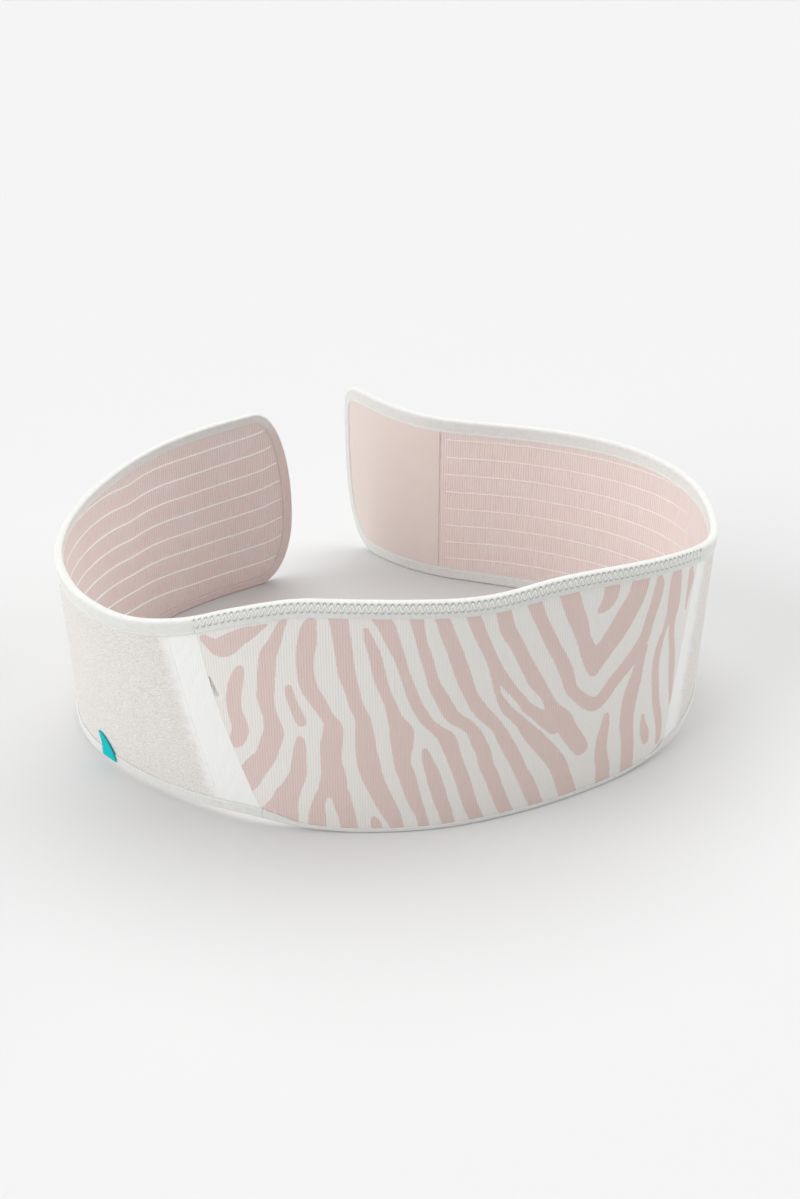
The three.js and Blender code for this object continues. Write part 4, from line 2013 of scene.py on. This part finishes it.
        def groove(travel: Floats, inset: Floats, out: Floats) -> Floats:
            """The row of stitches pulls the tape in near its free edges.

            Args:
                travel: Distances along the tape.
                inset: Insets from its edge.
                out: Distances outwards from the middle of the wall; not used.

            Returns:
                The relief at those places.
            """
            row = np.exp(-(((inset - self.seam_inset) / self.stitch_reach) ** 2))
            bead = 0.65 + 0.35 * np.cos(2 * np.pi * travel / self.stitch)
            wave = 0.1 * MM * np.sin(travel / (17 * MM))
            return wave - self.stitch_pull * row * bead

        tape = FoldedTape(f"binding_{hand}", f"side_binding_{hand}", route, fold, rows=34, relief=groove)
        piece = tape.build()
        s, z, out = Workbench.cloth(piece).T
        # Painted pink bounce light and shade on the binding's inside, away from its upper edge.
        inside = smooth_step(-out, 0.5 * MM, 2.2 * MM)
        low, high = BELT.low(s), BELT.high(s)
        lowness = smooth_step((high - z) / (high - low), 0.06, 0.16)
        Workbench.paint(piece, "tint", self.painted_bounce_share * inside * lowness)
        Workbench.dress(piece, self.finishes.trim, Slot.TRIM, (tape.node,))
        number = np.arange(int(route.length / self.stitch))
        holes = np.stack([(number + 0.5) * self.stitch, np.full(len(number), self.seam_inset)], axis=1)
        rows = [
            StitchRow(
                f"binding_stitches_{face.name.lower()}_{hand}", route, holes, face,
                radius=0.2 * MM, arch=0.1 * MM, sides=5, cuts=2,
            ).build(self.finishes.thread)
            for face in Face
        ]
        return tape, [piece, *rows]

    @property
    def seam_inset(self) -> float:
        """Inset of the binding's row of stitches, in widths of its fold."""
        return self.outer.upper - self.stitch_inset

    def build(self) -> list[bpy.types.Object]:
        """Builds the tail.

        Returns:
            The pieces.
        """
        tail, hand, made = self.tail, self.tail.hand, []
        loop_end, band_start = self.seam(tail.loop, -SEAM), self.seam(tail.loop, SEAM)
        front = self.seam(tail.print, -SEAM)
        outer, inner = (GAP / 2, CLOTH_HALF), (-CLOTH_HALF, -GAP / 2)
        layers = (
            ("loop_panel", "side_panel", self.tip, loop_end, outer,
             self.pile_relief, self.finishes.loop, Slot.LOOP),
            ("white_band", "joining_band", band_start, front, outer,
             self.band_relief, self.finishes.band, Slot.BAND),
            ("elastic", "tail_elastic", self.tip, front, inner,
             self.elastic_relief, self.finishes.elastic, Slot.ELASTIC),
        )
        tape, binding = self.binding()
        rubber = self.rubber()
        for name, node, start, end, faces, relief, finish, slot in layers:
            piece = self.cloth_layer(f"{name}_{hand}", start, end, faces, relief)
            if slot is Slot.LOOP:
                s, z, _ = Workbench.cloth(piece).T
                Workbench.paint(piece, "from_band", self.from_band(s, z))
            Workbench.dress(piece, finish, slot, (f"{node}_{hand}",))
            share = np.linspace(0, 1, 50)
            across = abs(end(share) - start(share))
            made.append(piece)
        tape.declare(f"elastic_{hand}", binding[1:])
        return [*made, *binding, rubber]


@dataclass
class HookPatch:
    """The hook fastener inside the end of the right tail."""

    finishes: Finishes
    inner: Widths
    length: float = 87 * MM
    thickness: float = 0.6 * MM
    gap: float = 0.1 * MM
    tip_gap: float = 0.2 * MM
    area_share: float = 0.93

    def warp(self, x: Floats, y: Floats, z: Floats) -> tuple[Floats, Floats, Floats]:
        """Lays the patch inside the binding, with its end rounded like the tail's.

        Args:
            x: Places along the flat piece.
            y: Places across it.
            z: Places through it.

        Returns:
            s, z and out of those places.
        """
        end_inset = self.inner.end + self.gap
        s = RIGHT.s_at(mix(end_inset + self.tip_gap, self.length, x))
        low, high = RIGHT.edges(s, end_inset, self.inner.lower, self.inner.upper)
        face = -CLOTH_HALF - SEAM - self.thickness / 2
        return s, mix(low, high, y), face - z

    def build(self) -> list[bpy.types.Object]:
        """Builds the patch.

        Returns:
            The pieces.
        """
        piece = Workbench.laid_cloth("hook_fastener_patch", 60, 60, self.thickness, self.warp)
        Workbench.round_edges(piece)
        Workbench.dress(piece, self.finishes.hook, Slot.HOOK, ("hook_patch",))
        length = self.length - self.inner.end
        return [piece]


@dataclass
class SideTab:
    """The plain tab on the lower binding, beside the front."""

    finishes: Finishes
    at: float = 0.266
    width: float = 12.5 * MM
    height: float = 20.5 * MM
    foot: float = 2.6 * MM
    corner: float = 0.72
    thickness: float = 0.8 * MM
    on_binding: float = 1.0 * MM
    on_cloth: float = 0.3 * MM
    curl: float = 0.4 * MM

    def warp(self, x: Floats, y: Floats, z: Floats) -> tuple[Floats, Floats, Floats]:
        """Lays the tab over the lower binding, cut away at one upper corner.

        Args:
            x: Places along the flat piece.
            y: Places across it.
            z: Places through it.

        Returns:
            s, z and out of those places.
        """
        s = BELT.length * self.at + self.width * x
        rise = mix(self.foot, self.height * (1 - self.corner * x**2.2), y)
        settled = smooth_step(rise, 3 * MM, 11 * MM)
        stand = mix(self.on_binding, self.on_cloth, settled) + self.thickness / 2
        return s, BELT.low(s) + rise, CLOTH_HALF + stand + z + self.curl * y**3

    def build(self) -> list[bpy.types.Object]:
        """Builds the tab.

        Returns:
            The pieces.
        """
        piece = Workbench.laid_cloth("teal_tab", 24, 28, self.thickness, self.warp)
        Workbench.round_edges(piece, 0.25 * MM)
        Workbench.dress(piece, self.finishes.tab, Slot.TAB, ("side_tab",))
        return [piece]


@dataclass(frozen=True)
class SoftSun:
    """A wide lamp so far off that it lights the whole floor alike.

    Attributes:
        name: Name of the lamp.
        power: Its strength.
        tilt: Degrees off the zenith.
        turn: Degrees from behind the belt towards its left, as the camera sees it.
        spread: Width of the lamp, in degrees.
    """

    name: str
    power: float
    tilt: float
    turn: float
    spread: float = 70.0

    def build(self, camera_yaw: float) -> None:
        """Hangs the lamp.

        Args:
            camera_yaw: Degrees that the camera is turned from +Y towards +X.
        """
        data = bpy.data.lights.new(self.name, "SUN")
        data.energy = self.power
        data.angle = math.radians(self.spread)
        lamp = bpy.data.objects.new(self.name, data)
        bpy.context.scene.collection.objects.link(lamp)
        lamp.rotation_euler = (-math.radians(self.tilt), 0, math.radians(self.turn - camera_yaw))


@dataclass
class Studio:
    """Plain pale floor, soft light and the camera at the photo's angle."""

    camera_place: Colour = (-0.2830, -0.8224, 0.5962)
    camera_yaw: float = 20.1
    camera_pitch: float = 32.0
    focal_pixels: float = 1600.0
    picture_height: float = 1199.0
    floor_size: float = 14.0
    floor_colour: Colour = linear(220, 220, 220)
    floor_roughness: float = 0.9
    sky: float = 0.46
    suns: tuple[SoftSun, ...] = (
        SoftSun("sun_behind", 1.3, 24, 0, 50),
        SoftSun("sun_left", 0.3, 45, 90),
        SoftSun("sun_low_left", 1.45, 62, 112, 50),
        SoftSun("sun_low_right", 1.1, 64, -74, 45),
    )

    def floor(self) -> None:
        """Lays the floor."""
        bpy.ops.object.select_all(action="DESELECT")
        bpy.ops.mesh.primitive_plane_add(size=self.floor_size, location=(0, 0, 0))
        floor = bpy.context.active_object
        floor.name = "floor"
        material = bpy.data.materials.new("floor_paper")
        material.use_nodes = True
        shader = material.node_tree.nodes["Principled BSDF"]
        shader.inputs["Base Color"].default_value = (*self.floor_colour, 1)
        shader.inputs["Roughness"].default_value = self.floor_roughness
        shader.inputs["Specular IOR Level"].default_value = 0.0
        floor.data.materials.append(material)

    def light(self) -> None:
        """Sets the sky and the soft lamps."""
        scene = bpy.context.scene
        scene.world = bpy.data.worlds.new("studio")
        scene.world.use_nodes = True
        background = scene.world.node_tree.nodes["Background"]
        background.inputs["Color"].default_value = (1, 1, 1, 1)
        background.inputs["Strength"].default_value = self.sky
        for sun in self.suns:
            sun.build(self.camera_yaw)
        scene.view_settings.view_transform = "Standard"

    def camera(self) -> None:
        """Sets the camera where the photo was taken from."""
        data = bpy.data.cameras.new("camera")
        data.lens = data.sensor_width * self.focal_pixels / self.picture_height
        camera = bpy.data.objects.new("camera", data)
        bpy.context.scene.collection.objects.link(camera)
        camera.location = self.camera_place
        pitch = math.radians(90 - self.camera_pitch)
        camera.rotation_euler = (pitch, 0, -math.radians(self.camera_yaw))
        bpy.context.scene.camera = camera

    def build(self) -> None:
        """Sets up the studio."""
        self.floor()
        self.light()
        self.camera()


def main() -> None:
    """Builds the belt piece by piece and sets it in the studio."""
    logging.basicConfig(level=logging.INFO, format="%(name)s: %(message)s")
    finishes = Finishes()
    right_inner = Widths(10 * MM, 9 * MM, 5.5 * MM)
    assemblies = (
        PrintedFront(finishes),
        SideTail(
            LEFT, LEFT_LINES, finishes, Widths(10 * MM, 7.5 * MM, 6.5 * MM),
            Widths(6.5 * MM, 6.5 * MM, 7 * MM), painted_bounce_share=1.0, line_start=4 * MM,
        ),
        SideTail(
            RIGHT, RIGHT_LINES, finishes, Widths(10 * MM, 6 * MM, 6.5 * MM), right_inner,
            painted_bounce_share=0.0, line_start=963 * MM,
        ),
        HookPatch(finishes, right_inner),
        SideTab(finishes),
    )
    for assembly in assemblies:
        pieces = assembly.build()
        log.info("%s: %d pieces", type(assembly).__name__, len(pieces))
    Studio().build()


if __name__ == "__main__":
    main()
